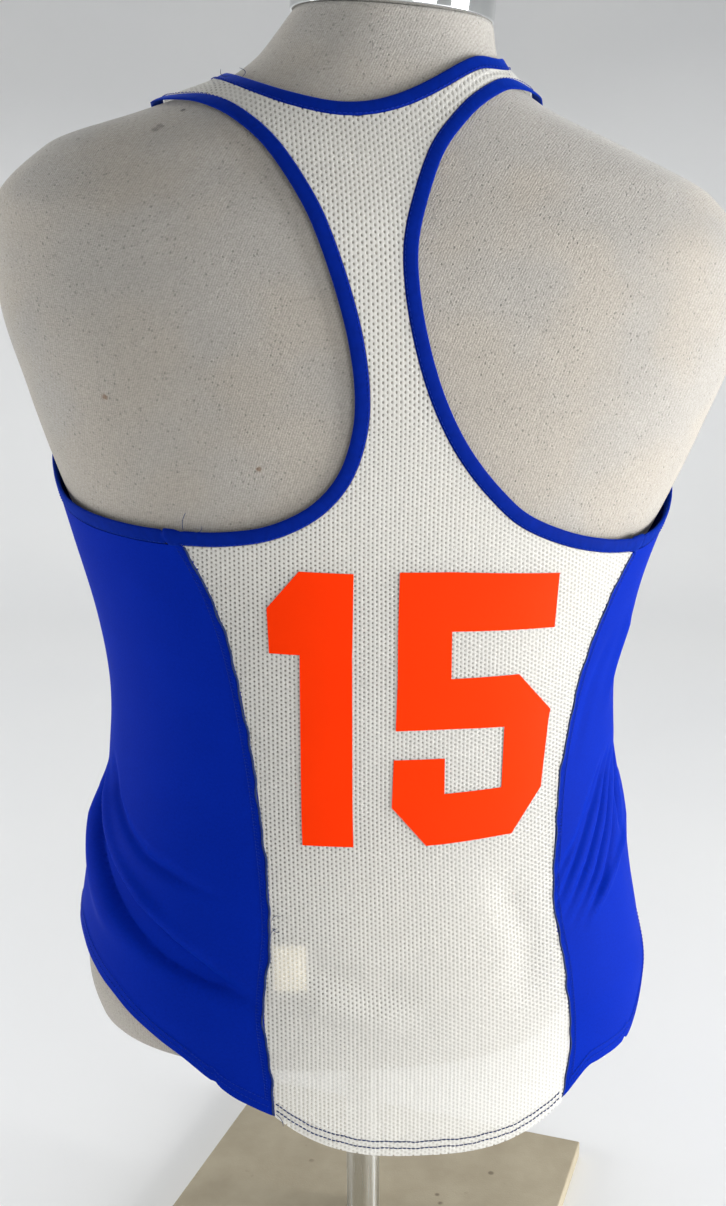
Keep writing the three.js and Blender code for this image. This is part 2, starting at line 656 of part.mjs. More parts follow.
add(jersey, "care_label", wall(patchCells(CARE_LABEL), -LABEL.depth, LABEL.thickness), creamSatin);

export default part;
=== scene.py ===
import math

import bpy
import numpy as np
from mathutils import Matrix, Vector


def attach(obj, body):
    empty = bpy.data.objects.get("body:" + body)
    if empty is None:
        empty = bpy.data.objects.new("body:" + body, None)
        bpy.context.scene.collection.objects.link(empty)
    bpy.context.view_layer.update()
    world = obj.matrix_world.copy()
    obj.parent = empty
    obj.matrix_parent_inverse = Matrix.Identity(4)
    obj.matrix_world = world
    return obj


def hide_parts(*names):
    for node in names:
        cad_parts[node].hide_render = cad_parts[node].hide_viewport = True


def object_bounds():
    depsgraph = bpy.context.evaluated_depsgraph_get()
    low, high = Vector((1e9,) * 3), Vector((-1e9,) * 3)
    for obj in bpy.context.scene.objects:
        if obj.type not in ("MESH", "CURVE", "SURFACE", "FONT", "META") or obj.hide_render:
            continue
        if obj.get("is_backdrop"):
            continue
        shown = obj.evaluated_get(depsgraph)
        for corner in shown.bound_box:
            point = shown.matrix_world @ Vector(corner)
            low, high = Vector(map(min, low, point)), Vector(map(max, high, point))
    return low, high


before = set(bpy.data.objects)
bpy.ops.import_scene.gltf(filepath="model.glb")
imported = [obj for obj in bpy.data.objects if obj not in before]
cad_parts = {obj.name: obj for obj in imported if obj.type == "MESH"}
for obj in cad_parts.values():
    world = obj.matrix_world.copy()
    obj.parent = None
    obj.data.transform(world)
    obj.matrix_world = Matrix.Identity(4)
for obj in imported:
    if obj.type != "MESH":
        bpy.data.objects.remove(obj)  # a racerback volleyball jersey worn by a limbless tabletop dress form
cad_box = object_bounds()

# ---------------------------------------------------------------- camera
# The stand is seen from behind the jersey, a little from the wearer's left and from above.
CAMERA = {"turn": 10, "tilt": 14.08, "distance": 0.857, "height": 0.653, "lens": 43.28}

turned = math.radians(CAMERA["turn"])
bpy.ops.object.camera_add(
    location=(
        -CAMERA["distance"] * math.sin(turned),
        -CAMERA["distance"] * math.cos(turned),
        CAMERA["height"],
    ),
    rotation=(math.radians(90 - CAMERA["tilt"]), 0, -turned),
)
camera = bpy.context.object
camera.data.lens = CAMERA["lens"]
bpy.context.scene.camera = camera

# ---------------------------------------------------------------- studio
# A pale paper sweep: a round floor that curves up into a wall. It is lit by soft boxes, the
# strongest on the wearer's right, and by the open sky of the studio above.
SWEEP = {"radius": 3.2, "height": 2.8, "curve": 1.5, "steps": 24}
AIM = Vector((0, 0, 0.45))
SOFTBOXES = [
    {"name": "key", "place": (1.75, -0.7, 0.40), "size": 0.75, "watts": 50},
    {"name": "fill", "place": (-1.75, 0.25, 0.55), "size": 0.9, "watts": 18},
    {"name": "front", "place": (0.9, -2.0, 0.4), "size": 1.0, "watts": 19},
    {"name": "overhead", "place": (0.1, 1.7, 2.3), "size": 2.4, "watts": 22},
]


def tint(code):
    """A colour written as six hex digits, as linear light with an alpha of 1."""
    shares = [int(code[i : i + 2], 16) / 255 for i in (0, 2, 4)]
    return [s / 12.92 if s <= 0.04045 else ((s + 0.055) / 1.055) ** 2.4 for s in shares] + [1.0]


class Link:
    """A number at a node's socket. Sums with it add Math nodes."""

    def __init__(self, finish, socket):
        self.finish = finish
        self.socket = socket

    def math(self, operation, *others):
        return self.finish.node(
            "ShaderNodeMath", {"operation": operation}, dict(enumerate([self, *others]))
        )

    def __add__(self, other):
        return self.math("ADD", other)

    def __mul__(self, other):
        return self.math("MULTIPLY", other)

    def __sub__(self, other):
        return self.math("SUBTRACT", other)

    def __rsub__(self, other):
        return self.math("MULTIPLY", -1) + other

    def __truediv__(self, other):
        return self.math("DIVIDE", other)

    def __pow__(self, other):
        return self.math("POWER", other)

    __radd__ = __add__
    __rmul__ = __mul__


class Finish:
    """A material with one Principled shader, whose constants are set on its own sockets."""

    def __init__(self, name, color, roughness, **constants):
        self.material = bpy.data.materials.new(name)
        self.material.use_nodes = True
        self.tree = self.material.node_tree
        self.shader = self.tree.nodes["Principled BSDF"]
        self.feed(self.shader, {"Base Color": tint(color), "Roughness": roughness})
        self.feed(self.shader, {key.replace("_", " "): v for key, v in constants.items()})

    def feed(self, node, inputs):
        for key, value in inputs.items():
            if isinstance(value, Link):
                self.tree.links.new(value.socket, node.inputs[key])
            else:
                node.inputs[key].default_value = value

    def node(self, kind, settings=None, inputs=None, output=0):
        made = self.tree.nodes.new(kind)
        for key, value in (settings or {}).items():
            if key == "stops":
                for stop, (place, shade) in zip(made.color_ramp.elements, value):
                    stop.position = place
                    stop.color = shade
            else:
                setattr(made, key, value)
        self.feed(made, inputs or {})
        return Link(self, made.outputs[output])

    def paint(self, color):
        self.feed(self.shader, {"Base Color": color})

    def place(self):
        """Places in the piece's own frame."""
        return self.node("ShaderNodeTexCoord", output="Object")

    def flat(self):
        """Places on the cloth laid flat."""
        return self.node("ShaderNodeUVMap", {"uv_map": "flat"})

    def scaled(self, place, scale):
        return self.node("ShaderNodeMapping", {}, {"Vector": place, "Scale": scale})

    def mix(self, share, first, second):
        """A colour between two colours."""
        return self.node("ShaderNodeMix", {"data_type": "RGBA"}, {0: share, 6: first, 7: second}, 2)

    def noise(self, place, scale, detail=2.0, roughness=0.5):
        return self.node(
            "ShaderNodeTexNoise",
            {},
            {"Vector": place, "Scale": scale, "Detail": detail, "Roughness": roughness},
        )

    def band(self, value, low, high):
        """0 below low, 1 above high, smooth between."""
        return self.node(
            "ShaderNodeMapRange",
            {"interpolation_type": "SMOOTHSTEP"},
            {"Value": value, "From Min": low, "From Max": high},
        )

    def bump(self, height, distance, strength=1.0):
        raised = self.node(
            "ShaderNodeBump", {}, {"Height": height, "Distance": distance, "Strength": strength}
        )
        self.feed(self.shader, {"Normal": raised})


def edit(piece, kind, test):
    """Opens a piece in edit mode with those faces or edges selected whose corners all pass."""
    bpy.context.view_layer.objects.active = piece
    bpy.ops.object.mode_set(mode="EDIT")
    bpy.ops.mesh.select_mode(type=kind)
    bpy.ops.mesh.select_all(action="DESELECT")
    bpy.ops.object.mode_set(mode="OBJECT")
    mesh = piece.data
    for element in mesh.polygons if kind == "FACE" else mesh.edges:
        element.select = all(test(mesh.vertices[v].co) for v in element.vertices)
    bpy.ops.object.mode_set(mode="EDIT")


def bevelled(piece, offset, segments, test):
    """Rounds the edges whose ends both pass."""
    edit(piece, "EDGE", test)
    bpy.ops.mesh.bevel(offset=offset, segments=segments)
    bpy.ops.object.mode_set(mode="OBJECT")


def cylinder(sides, radius, low, high):
    """A capped upright cylinder between two heights."""
    bpy.ops.mesh.primitive_cylinder_add(
        vertices=sides, radius=radius, depth=high - low, location=(0, 0, (low + high) / 2)
    )
    bpy.ops.object.transform_apply(location=True, rotation=True, scale=True)
    return bpy.context.object


sweep = cylinder(128, SWEEP["radius"], 0, SWEEP["height"])
sweep.name = "studio_sweep"
edit(sweep, "FACE", lambda corner: corner.z > SWEEP["height"] - 0.001)
bpy.ops.mesh.delete(type="FACE")
bpy.ops.object.mode_set(mode="OBJECT")
bevelled(sweep, SWEEP["curve"], SWEEP["steps"], lambda corner: corner.z < 0.001)
edit(sweep, "FACE", lambda corner: True)
bpy.ops.mesh.flip_normals()
bpy.ops.object.mode_set(mode="OBJECT")
bpy.ops.object.shade_smooth()
paper = Finish("studio_paper", "ececeb", 0.9)
grain = paper.noise(paper.place(), 1.7)
height = paper.node("ShaderNodeSeparateXYZ", {}, {0: paper.place()}, "Z")
unshaded_paper = paper.mix(grain, tint("e8e9ea"), tint("f1f1ef"))
# painted shade: the paper is painted greyer higher up the sweep, where less light reaches the wall
above = paper.band(height, 0.15, 1.35) * 0.4
paper.paint(paper.mix(above, unshaded_paper, tint("a9a9aa")))
sweep.data.materials.append(paper.material)
sweep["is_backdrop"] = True

for box in SOFTBOXES:
    aim = (AIM - Vector(box["place"])).to_track_quat("-Z", "Y").to_euler()
    bpy.ops.object.light_add(type="AREA", location=box["place"], rotation=aim)
    lamp = bpy.context.object
    lamp.name = f"{box['name']}_softbox"
    lamp.data.size = box["size"]
    lamp.data.energy = box["watts"]

sky = bpy.data.worlds.new("studio_air")
bpy.context.scene.world = sky
sky.use_nodes = True
sky.node_tree.nodes["Background"].inputs["Color"].default_value = (0.93, 0.96, 1.0, 1.0)
sky.node_tree.nodes["Background"].inputs["Strength"].default_value = 0.31
bpy.context.scene.view_settings.view_transform = "Standard"

# ---------------------------------------------------------------- base plate
# A square steel plate with eased edges, painted a matt stone beige. Its paint is mottled and
# has dark flecks, and it carries the pole.
PLATE = {"side": 0.25, "thickness": 0.012, "turn": -29, "edge": 0.0012}
SHARP = math.radians(35)  # edges of the hard pieces that turn by more than this stay crisp


def picked(piece):
    """Makes a piece the only one selected."""
    bpy.ops.object.select_all(action="DESELECT")
    piece.select_set(True)
    bpy.context.view_layer.objects.active = piece


def placed(piece, name, finish, slot, *nodes):
    """Names a finished piece, gives it its material and its place in the frame."""
    picked(piece)
    bpy.ops.object.transform_apply(location=True, rotation=True, scale=True)
    piece.name = name
    piece.data.name = name
    piece.data.materials.clear()
    piece.data.materials.append(finish.material)
    if nodes:
        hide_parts(*nodes)
    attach(piece, "root")


bpy.ops.mesh.primitive_cube_add(
    size=1,
    location=(0, 0, PLATE["thickness"] / 2),
    rotation=(0, 0, math.radians(PLATE["turn"])),
    scale=(PLATE["side"], PLATE["side"], PLATE["thickness"]),
)
plate = bpy.context.object
bpy.ops.object.transform_apply(location=True, rotation=True, scale=True)
bevelled(plate, PLATE["edge"], 3, lambda corner: True)
bpy.ops.object.shade_smooth_by_angle(angle=SHARP)

stone = Finish("plate_paint", "b3a890", 0.62)
where = stone.place()
clouds = stone.noise(where, 26, detail=6.0, roughness=0.6)
specks = 1 - stone.band(
    stone.node("ShaderNodeTexVoronoi", {}, {"Vector": where, "Scale": 75}), 0.10, 0.2
)
sparse = stone.band(stone.noise(where, 34), 0.55, 0.66)
mottled = stone.mix(clouds, tint("897e67"), tint("b3a992"))
stone.paint(stone.mix(specks * sparse * 0.75, mottled, tint("5a4c3a")))
stone.bump(stone.noise(where, 900) + clouds * 2, 0.00012)
placed(plate, "base_plate_painted", stone, "plate_paint", "base_plate")

# ---------------------------------------------------------------- pole
# A chromed steel tube, which stands in the plate and runs up into the torso.
POLE = {"radius": 0.011, "foot": 0.0123, "top": 0.2317, "sides": 96, "edge": 0.0006}

pole = cylinder(POLE["sides"], POLE["radius"], POLE["foot"], POLE["top"])
bevelled(pole, POLE["edge"], 2, lambda corner: corner.z < POLE["foot"] + 0.001)
bpy.ops.object.shade_smooth_by_angle(angle=SHARP)

chrome = Finish("chrome", "d6d8d8", 0.07, Metallic=1.0)
where = chrome.place()
smears = chrome.band(chrome.noise(where, 60, detail=4.0), 0.45, 0.75)
chrome.feed(chrome.shader, {"Roughness": smears * 0.07 + 0.05})
drawn = Finish("drawn_chrome", "e4e6e6", 0.3, Metallic=1.0, Anisotropic=0.9, Anisotropic_Rotation=0.25)
where = drawn.place()
marks = drawn.scaled(where, (1, 1, 0.02))
drawn.feed(drawn.shader, {"Roughness": drawn.noise(marks, 900, detail=2.0) * 0.12 + 0.2})
placed(pole, "pole_chromed", drawn, "chrome", "pole")

# ---------------------------------------------------------------- torso
# A limbless torso of rigid foam on a bottom board, in a tight off-white jersey-knit cover.
# The cover is worn nubby, is drawn up to the neck and closes there with a lapped edge.
MM = 0.001
LEAN = {"degrees": 4, "pivot": 470}  # it leans to the wearer's right on its pole
ROUNDNESS = 2.3  # exponent of every section's superellipse
TORSO = {
    "z": [172, 181, 212, 290, 370, 440, 500, 560, 610, 655, 690, 712, 732, 750, 772],
    "half_width": [130, 148, 156, 150, 126, 146, 175, 199, 215, 218, 191, 139, 89, 66, 55],
    "back": [82, 98, 108, 102, 82, 88, 98, 103, 100, 92, 78, 68, 60, 55, 50],
    "front": [78, 92, 98, 92, 84, 98, 116, 112, 92, 74, 58, 50, 50, 50, 50],
    "shift": [0, 0, 0, 0, 0, 0, 0, 0, 0, 0, 0, -1, -6, -9, -5],
}
COVER = {"sides": 288, "level": 2.6, "widening": 3.0}  # largest steps between rings, mm
BORE = {"radius": 11.2, "depth": 45}
LAP = {"angle": 112, "span": 40, "from": 735, "over": 8, "thick": 0.7}  # the lapped edge, on the neck


MARKS = [  # small nicks and scuffs on the back of the cover
    {"place": (-0.1494, -0.0713, 0.5731), "size": 0.0022, "depth": 0.6, "color": "6b4a2e"},
    {"place": (-0.0719, -0.0956, 0.5368), "size": 0.0020, "depth": 0.6, "color": "6b4a2e"},
    {"place": (-0.1155, -0.0505, 0.7098), "size": 0.0030, "depth": 0.5, "color": "3d3833"},
    {"place": (-0.1185, -0.0515, 0.7078), "size": 0.0026, "depth": 0.5, "color": "3d3833"},
    {"place": (-0.1030, -0.0425, 0.7185), "size": 0.0018, "depth": 0.8, "color": "2e2a27"},
    {"place": (0.1150, -0.0800, 0.6250), "size": 0.0018, "depth": 0.3, "color": "5a5147"},
]


def column(table, key, at, by="z"):
    """A smooth curve (cubic, slopes limited) through a table's column against its first."""
    x = np.array(table[by], float)
    y = np.array(table[key], float)
    rise = np.diff(y) / np.diff(x)
    before, after = rise[:-1], rise[1:]
    bent = before * after <= 0
    inner = np.where(bent, 0, 2 * before * after / np.where(bent, 1, before + after))
    slope = np.concatenate([rise[:1], inner, rise[-1:]])
    at = np.clip(at, x[0], x[-1])
    i = np.clip(np.searchsorted(x, at, side="right") - 1, 0, len(rise) - 1)
    span = x[i + 1] - x[i]
    t = (at - x[i]) / span
    bow = span * t * (1 - t) * (slope[i] * (1 - t) - slope[i + 1] * t)
    return y[i] + (y[i + 1] - y[i]) * t * t * (3 - 2 * t) + bow


def leaned(p, times=1):
    """Points turned about the form's lean axis."""
    angle = math.radians(LEAN["degrees"]) * times
    x, z = p[..., 0], p[..., 2] - LEAN["pivot"]
    return np.stack(
        [
            x * math.cos(angle) + z * math.sin(angle),
            p[..., 1],
            LEAN["pivot"] + z * math.cos(angle) - x * math.sin(angle),
        ],
        axis=-1,
    )


def turns(count):
    """Angles evenly round a full turn."""
    return np.linspace(0, 2 * np.pi, count, endpoint=False)


def between(a, b, share):
    return a * (1 - share) + b * share


def unit(v):
    return v / np.linalg.norm(v, axis=-1, keepdims=True)


def lengths(points):
    """How far along a line each of its points is."""
    steps = np.linalg.norm(np.diff(points, axis=0), axis=1)
    return np.concatenate([[0], np.cumsum(steps)])


def squared(value, exponent):
    """A sine or cosine raised to a power with its sign kept, which squares off a round."""
    return np.sign(value) * np.abs(value) ** exponent


def torso_ring(z):
    """One ring of the torso, from the middle of the back round by the wearer's right."""
    angle = turns(COVER["sides"])
    across = squared(np.sin(angle), 2 / ROUNDNESS) * column(TORSO, "half_width", z)
    deep = np.where(np.cos(angle) > 0, column(TORSO, "back", z), column(TORSO, "front", z))
    back = -squared(np.cos(angle), 2 / ROUNDNESS) * deep
    return np.stack([column(TORSO, "shift", z) + across, back, np.full_like(angle, z)], axis=-1)


def built(name, points, faces):
    """A smooth-shaded piece from points in millimetres and faces."""
    mesh = bpy.data.meshes.new(name)
    mesh.from_pydata((points * MM).tolist(), [], faces)
    mesh.shade_smooth()
    piece = bpy.data.objects.new(name, mesh)
    bpy.context.scene.collection.objects.link(piece)
    return piece


def stacked(name, rings):
    """A piece from rings of points, each above the last, closed at both ends."""
    rings = np.asarray(rings)
    count, around = rings.shape[:2]
    faces = []
    for level in range(count - 1):
        for k in range(around):
            a = level * around + k
            b = level * around + (k + 1) % around
            faces.append((a, b, b + around, a + around))
    faces.append(tuple(reversed(range(around))))
    faces.append(tuple(range((count - 1) * around, count * around)))
    return built(name, rings.reshape(-1, 3), faces)


levels = [TORSO["z"][0]]
for low, high, width, wider in zip(
    TORSO["z"], TORSO["z"][1:], TORSO["half_width"], TORSO["half_width"][1:]
):
    steps = math.ceil(max((high - low) / COVER["level"], abs(wider - width) / COVER["widening"]))
    levels += list(low + (high - low) * np.arange(1, steps + 1) / steps)
rings = []
for z in levels:
    ring = torso_ring(z)
    angle = np.degrees(np.arctan2(ring[:, 0], -ring[:, 1]))
    rise = np.clip((z - LAP["from"]) / LAP["over"], 0, 1)
    lapped = LAP["thick"] * rise * ((angle > LAP["angle"] - LAP["span"]) & (angle < LAP["angle"]))
    rings.append(leaned(ring + unit(ring * [1, 1, 0]) * lapped[:, None]))

board = rings[0]
order = np.argsort(board[:, 0])
circle = turns(COVER["sides"])
bore = np.stack([BORE["radius"] * np.sin(circle), -BORE["radius"] * np.cos(circle)], axis=-1)
mouth = np.column_stack([bore, np.interp(bore[:, 0], board[order, 0], board[order, 2])])
blind = np.column_stack([bore, np.full(len(bore), TORSO["z"][0] + BORE["depth"])])
crown = leaned(np.array([[TORSO["shift"][-1], 0, TORSO["z"][-1]]]))[0]
top = [crown + (rings[-1] - crown) * share for share in (0.66, 0.33, 0.02)]
under = [board + (mouth - board) * share for share in (0.97, 0.66, 0.33, 0.04)]
torso = stacked("torso", [blind, mouth, *under, *rings, *top])

knit = Finish("torso_knit", "b5b0a5", 0.9, Specular_IOR_Level=0.15, Sheen_Weight=0.3)
where = knit.place()
wide = knit.scaled(where, (0.55, 0.55, 1.5))
courses = knit.noise(wide, 950, detail=2.0, roughness=0.6)
nubs = knit.noise(where, 700, detail=2.0, roughness=0.6)
slanted = knit.scaled(where, (-1.6, 1.0, 0.6))
ribs = knit.node(
    "ShaderNodeTexWave",
    {"bands_direction": "DIAGONAL"},
    {"Vector": slanted, "Scale": 260, "Distortion": 3.0, "Detail": 2, "Detail Scale": 2.0},
    1,
)
# The ribs fade where the cover faces along their run, where they would close into rings.
faced = knit.node("ShaderNodeTexCoord", output="Normal")
along_run = knit.node(
    "ShaderNodeVectorMath", {"operation": "DOT_PRODUCT"}, {0: faced, 1: (-0.81, 0.505, 0.3)}, "Value"
)
ribs = ribs + (0.5 - ribs) * knit.band(along_run * along_run, 0.7, 0.95)
clouds = knit.noise(where, 24, detail=4.0, roughness=0.6)
hues = knit.noise(where, 13, detail=2.0)
pins = knit.node("ShaderNodeTexVoronoi", {}, {"Vector": where, "Scale": 280})
thick_pins = knit.band(knit.noise(where, 60, detail=3.0), 0.28, 0.55)
holes = (1 - knit.band(pins, 0.10, 0.24)) * thick_pins
worn = knit.mix(clouds, tint("a19e98"), tint("b6b2ab"))
tinged = knit.mix(knit.band(hues, 0.4, 0.6) * 0.35, worn, tint("b9ad9b"))
fibre = knit.mix(courses * 0.8 + ribs * 0.2 - 0.14, tinged, tint("706b64"))
marked = knit.mix(holes * 0.4, fibre, tint("5a5c55"))
for mark in MARKS:
    gone = knit.node(
        "ShaderNodeVectorMath", {"operation": "DISTANCE"}, {0: where, 1: mark["place"]}, "Value"
    )
    ragged = gone + (nubs - 0.5) * mark["size"] * 1.2
    shape = 1 - knit.band(ragged, mark["size"] * 0.4, mark["size"])
    marked = knit.mix(shape * mark["depth"], marked, tint(mark["color"]))
knit.paint(marked)
knit.bump(courses * 0.9 + nubs * 0.6 + ribs * 0.2 - holes * 0.6, 0.0006, 0.8)
placed(torso, "torso_covered", knit, "knit_cover", "form_torso")

# ---------------------------------------------------------------- neck cap
# A chromed cap closes the neck. Its rim is rolled, and its top is a shallow crown.
CAP = {"radius": 0.057, "height": 0.022, "rim": 0.003, "foot": 0.001, "crown": 0.006, "gap": 0.0003}
CROWN = (0.45, 0.3, 0.17, 0.08)  # how much of the crown's rise each of its rings takes

cap = cylinder(128, CAP["radius"], 0, CAP["height"])
bevelled(cap, CAP["rim"], 6, lambda corner: corner.z > CAP["height"] - 0.001)
bevelled(cap, CAP["foot"], 3, lambda corner: corner.z < 0.0001)
edit(cap, "FACE", lambda corner: corner.z > CAP["height"] - 0.0001)
for share in CROWN:
    bpy.ops.mesh.inset(thickness=CAP["radius"] / (len(CROWN) + 1))
    bpy.ops.transform.translate(value=(0, 0, CAP["crown"] * share))
bpy.ops.object.mode_set(mode="OBJECT")
bpy.ops.object.shade_smooth_by_angle(angle=SHARP)
neck = leaned(np.array([TORSO["shift"][-1], 0, TORSO["z"][-1] + CAP["gap"] / MM])) * MM
cap.location = neck
cap.rotation_euler = (0, math.radians(LEAN["degrees"]), 0)
placed(cap, "neck_cap_chromed", chrome, "chrome", "neck_cap")

# ---------------------------------------------------------------- jersey panels
# Four knitted panels: a white eyelet-mesh racerback and front, and two royal blue sides of
# smooth warp knit. They hang from the shoulder blades and the bust, and fall loose below.
# Places on the white panels are (x, s): x across, s up along the cloth, in millimetres.
TUBE = {
    "z": [120, 205, 232, 270, 312, 352, 390, 440, 500, 560, 600],
    "half_width": [171.5, 176.5, 173.5, 167, 161, 155, 153, 161, 171, 146, 60],
    "back": [120, 119, 117, 112, 106, 102, 102, 102, 97, 82, 40],
    "front": [106, 106, 106, 106, 107, 109, 112, 115, 114, 88, 40],
    "shift": [4.5, 4.5, 2.5, 2, 2, 1, 1, 4, 4, 0, 0],
}
EASE = 2.5  # the cloth's inner face stands this far off the torso
MELD = 24  # sharpness of the join between torso and tube
LEAST = 0.05  # the gauges go no lower, so that their powers stay finite
CLEAR = 0.8  # folds stay this far off the torso
BEND = {"z": 640, "radius": 90}  # above z the panels wrap over the shoulder on this radius
CREST = BEND["z"] + BEND["radius"] * math.pi / 2  # the shoulder seam
RAY = {"reach": 320, "halvings": 24}
WALL = 1.2
GAP = 0.3
BAND = {"width": 8, "thickness": 2.4}  # the folded binding
EDGE = BAND["width"] / 2 + GAP  # from a binding's middle line to the panel's edge
BACK, FRONT = -1, 1
LEFT, RIGHT = "left", "right"
SIGN = {LEFT: -1, RIGHT: 1}

BACK_SEAM = {
    "z": [150, 186, 230, 283, 341, 405, 436, 463, 483, 500],
    "left": [-70, -72, -76, -71, -74, -82, -88, -96, -105, -115],
    "right": [101, 106, 103, 95, 99, 111, 121, 135, 147, 153],
}
BACK_HEM = {"left": 166, "right": 152, "dip": 23}
BACK_ARM = {  # the middle line of the back armhole bindings, from the side seam up
    "left_x": [-113, -93, -70, -50, -36, -26, -20, -19, -22, -28, -35, -44, -59, -76, -93, -109, -115],
    "left_s": [499, 499, 502, 510, 521, 536, 557, 578, 603, 628, 650, 672, 699, 720, 738, 757, CREST],
    "right_x": [146, 124, 98, 72, 54, 39, 28, 19, 12, 8, 8, 14, 26, 43, 65, 91, 102],
    "right_s": [483, 486, 493, 505, 521, 539, 557, 578, 603, 628, 650, 672, 699, 718, 735, 756, CREST],
    "rise": [0, 3, 7, 12, 16, 17, 14, 9, 6, 5, 5, 8, 14, 0, 0, 0, 0],
}
BACK_ROWS = 16  # the last row, at the shoulder seam
BACK_YOKE = 12  # the row whose cross line meets the bottom of the neckline
NECK_ROW = 5  # the row at the middle of each neckline
BACK_NECK = {
    "x": [-82, -79, -71, -56, -35, -15, 6, 30, 52, 71, 83],
    "s": [CREST, 758, 741, 728, 719.5, 717, 720, 728.5, 740, 753, CREST],
}
FRONT_MIDDLE = 0.5
FRONT_SEAM = {
    "z": [160, 200, 260, 330, 390, 450, 500, 556],
    "half": [93, 92, 90, 91, 97, 106, 118, 132],
}
FRONT_HEM = {"left": 186, "right": 186, "dip": 30}
FRONT_ARM = {
    "half": [131, 122, 115, 111, 106, 105, 106, 107, 108, 108.5],
    "s": [552, 561, 578, 597, 625, 655, 700, 735, 760, CREST],
    "slip": [0, 0, 0, 0, 0, 0, -1, -4, -6, -7],
    "rise": [0, 1, 4, 6, 14, 0, 0, 0, 0, 0],
}
FRONT_ROWS = 9
FRONT_YOKE = 4
FRONT_NECK = {
    "x": [-82, -73.5, -62.5, -48.5, -26.5, 0.5, 27.5, 49.5, 63.5, 74.5, 83],
    "s": [CREST, 735, 695, 665, 648, 644, 648, 665, 695, 735, CREST],
}
SIDES = {  # upper binding and hem of the side panels, from the back seam round to the front
    "way": [0, 0.08, 0.2, 0.35, 0.5, 0.65, 0.8, 1],
    "left_top": [499, 500, 503, 509, 521, 534, 545, 552],
    "left_hem": [166, 175.5, 201, 230.5, 247.5, 247, 226, 186],
    "right_top": [483, 485, 493, 507, 523, 536, 546, 552],
    "right_hem": [154, 169.5, 170.5, 211, 239, 244, 226, 186],
}
HEM = {"depth": 10.5, "extra": 0.35, "ramp": 1.2, "rows": (5.0, 9.2)}  # turned up, two rows of stitches
FINE = {"across": 84, "seam": 120, "arm_row": 7, "neck_row": 11, "side": 210, "side_up": 180}
ROLL_FINE = {"back": 9, "front": 12, "neck": 16}  # rings of a binding to a row

# Folds run along paths of places, as degrees round from the middle of the back towards the
# wearer's right, and height. Depth is how far out (in, below 0) they carry the cloth.
FOLDS = [
    # the deep fold at the wearer's left waist, its lip, its flap and the fold beside it
    {
        "width": 6,
        "depth": -25,
        "path": [
            (-102, 372), (-95, 350), (-87, 331), (-80, 311), (-72, 293),
            (-65, 277), (-57, 262), (-47, 248), (-34, 236),
        ],
    },
    {
        "width": 5,
        "depth": 4,
        "path": [(-86, 345), (-80, 327), (-74, 309), (-66, 293), (-59, 279), (-50, 265)],
    },
    {"width": 8, "depth": 4, "path": [(-94, 325), (-86, 303), (-79, 286), (-71, 269), (-60, 252)]},
    {
        "width": 3.6,
        "depth": -3.0,
        "path": [(-81, 356), (-77, 338), (-70.5, 324), (-64, 313), (-56, 305), (-42, 293)],
    },
    # the pinch at the wearer's right waist, with the fine wrinkles that fan out of it
    {"width": 3.4, "depth": -6, "path": [(81, 358), (76, 343), (73, 322), (71, 298)]},
    {"width": 7, "depth": 1.5, "path": [(86, 330), (80, 306), (77, 285)]},
    {"width": 6, "depth": 2.0, "path": [(72, 440), (70, 405), (68.5, 375)]},
    {"width": 5, "depth": -1.2, "path": [(64, 430), (60, 400), (57, 378), (53, 350)]},
    {"width": 2.5, "depth": -2.2, "path": [(68.5, 354), (65.5, 343), (58.5, 322), (52, 298), (42, 266)]},
    {"width": 2.3, "depth": -2.6, "path": [(71, 352), (68, 341), (62, 318), (56, 295), (45, 262)]},
    {"width": 2.3, "depth": -2.6, "path": [(71.5, 344), (69, 332), (64, 309), (58, 286), (47, 257)]},
    {"width": 2.4, "depth": -2.2, "path": [(71.5, 330), (66.5, 302), (60.5, 280), (50, 254)]},
    {"width": 2.6, "depth": -1.8, "path": [(66, 352), (60.5, 335), (53, 310), (42, 282)]},
    {"width": 2.6, "depth": 2.0, "path": [(75, 298), (68, 289), (61, 275), (52, 257)]},
    # soft folds round the sides and across the front
    {"width": 7, "depth": -5, "path": [(150, 330), (128, 300), (112, 262)]},
    {"width": 13, "depth": 5, "path": [(140, 320), (120, 282), (104, 246)]},
    {"width": 8, "depth": -6, "path": [(-158, 340), (-136, 305), (-118, 262)]},
    {"width": 14, "depth": 5, "path": [(-150, 330), (-128, 284), (-110, 250)]},
    {"width": 12, "depth": -4, "path": [(172, 330), (166, 260), (170, 190)]},
    {"width": 16, "depth": 4, "path": [(-172, 320), (-166, 250), (-168, 180)]},
    # shallow folds low on the back
    {"width": 9, "depth": -1.5, "path": [(-28, 262), (-10, 244), (10, 238)]},
    {"width": 9, "depth": 1.5, "path": [(-26, 240), (-8, 226), (8, 222)]},
    {"width": 11, "depth": -1.8, "path": [(30, 300), (36, 262), (34, 214)]},
]
SETTLE = {"z": 690, "over": 30, "depth": 1.2}  # pulled tight, the shoulders bear on the torso
FADE = {"start": 0.3, "in": 5, "out": 3, "power": 1.2}  # how a fold grows and dies along its path
FAR = 9  # stands for a gauge without end
ARC = 2.6  # millimetres of cloth to a degree round the body, for the folds' widths


def along(values, row):
    """A smooth curve through a column by row number (Catmull-Rom)."""
    v = np.array(values, float)
    v = np.concatenate([[2 * v[0] - v[1]], v, [2 * v[-1] - v[-2]]])
    i = np.clip(np.floor(row).astype(int), 0, len(values) - 2)
    t = row - i
    a, b, c, d = v[i], v[i + 1], v[i + 2], v[i + 3]
    return b + t / 2 * (c - a + t * (2 * a - 5 * b + 4 * c - d + t * (3 * (b - c) + d - a)))


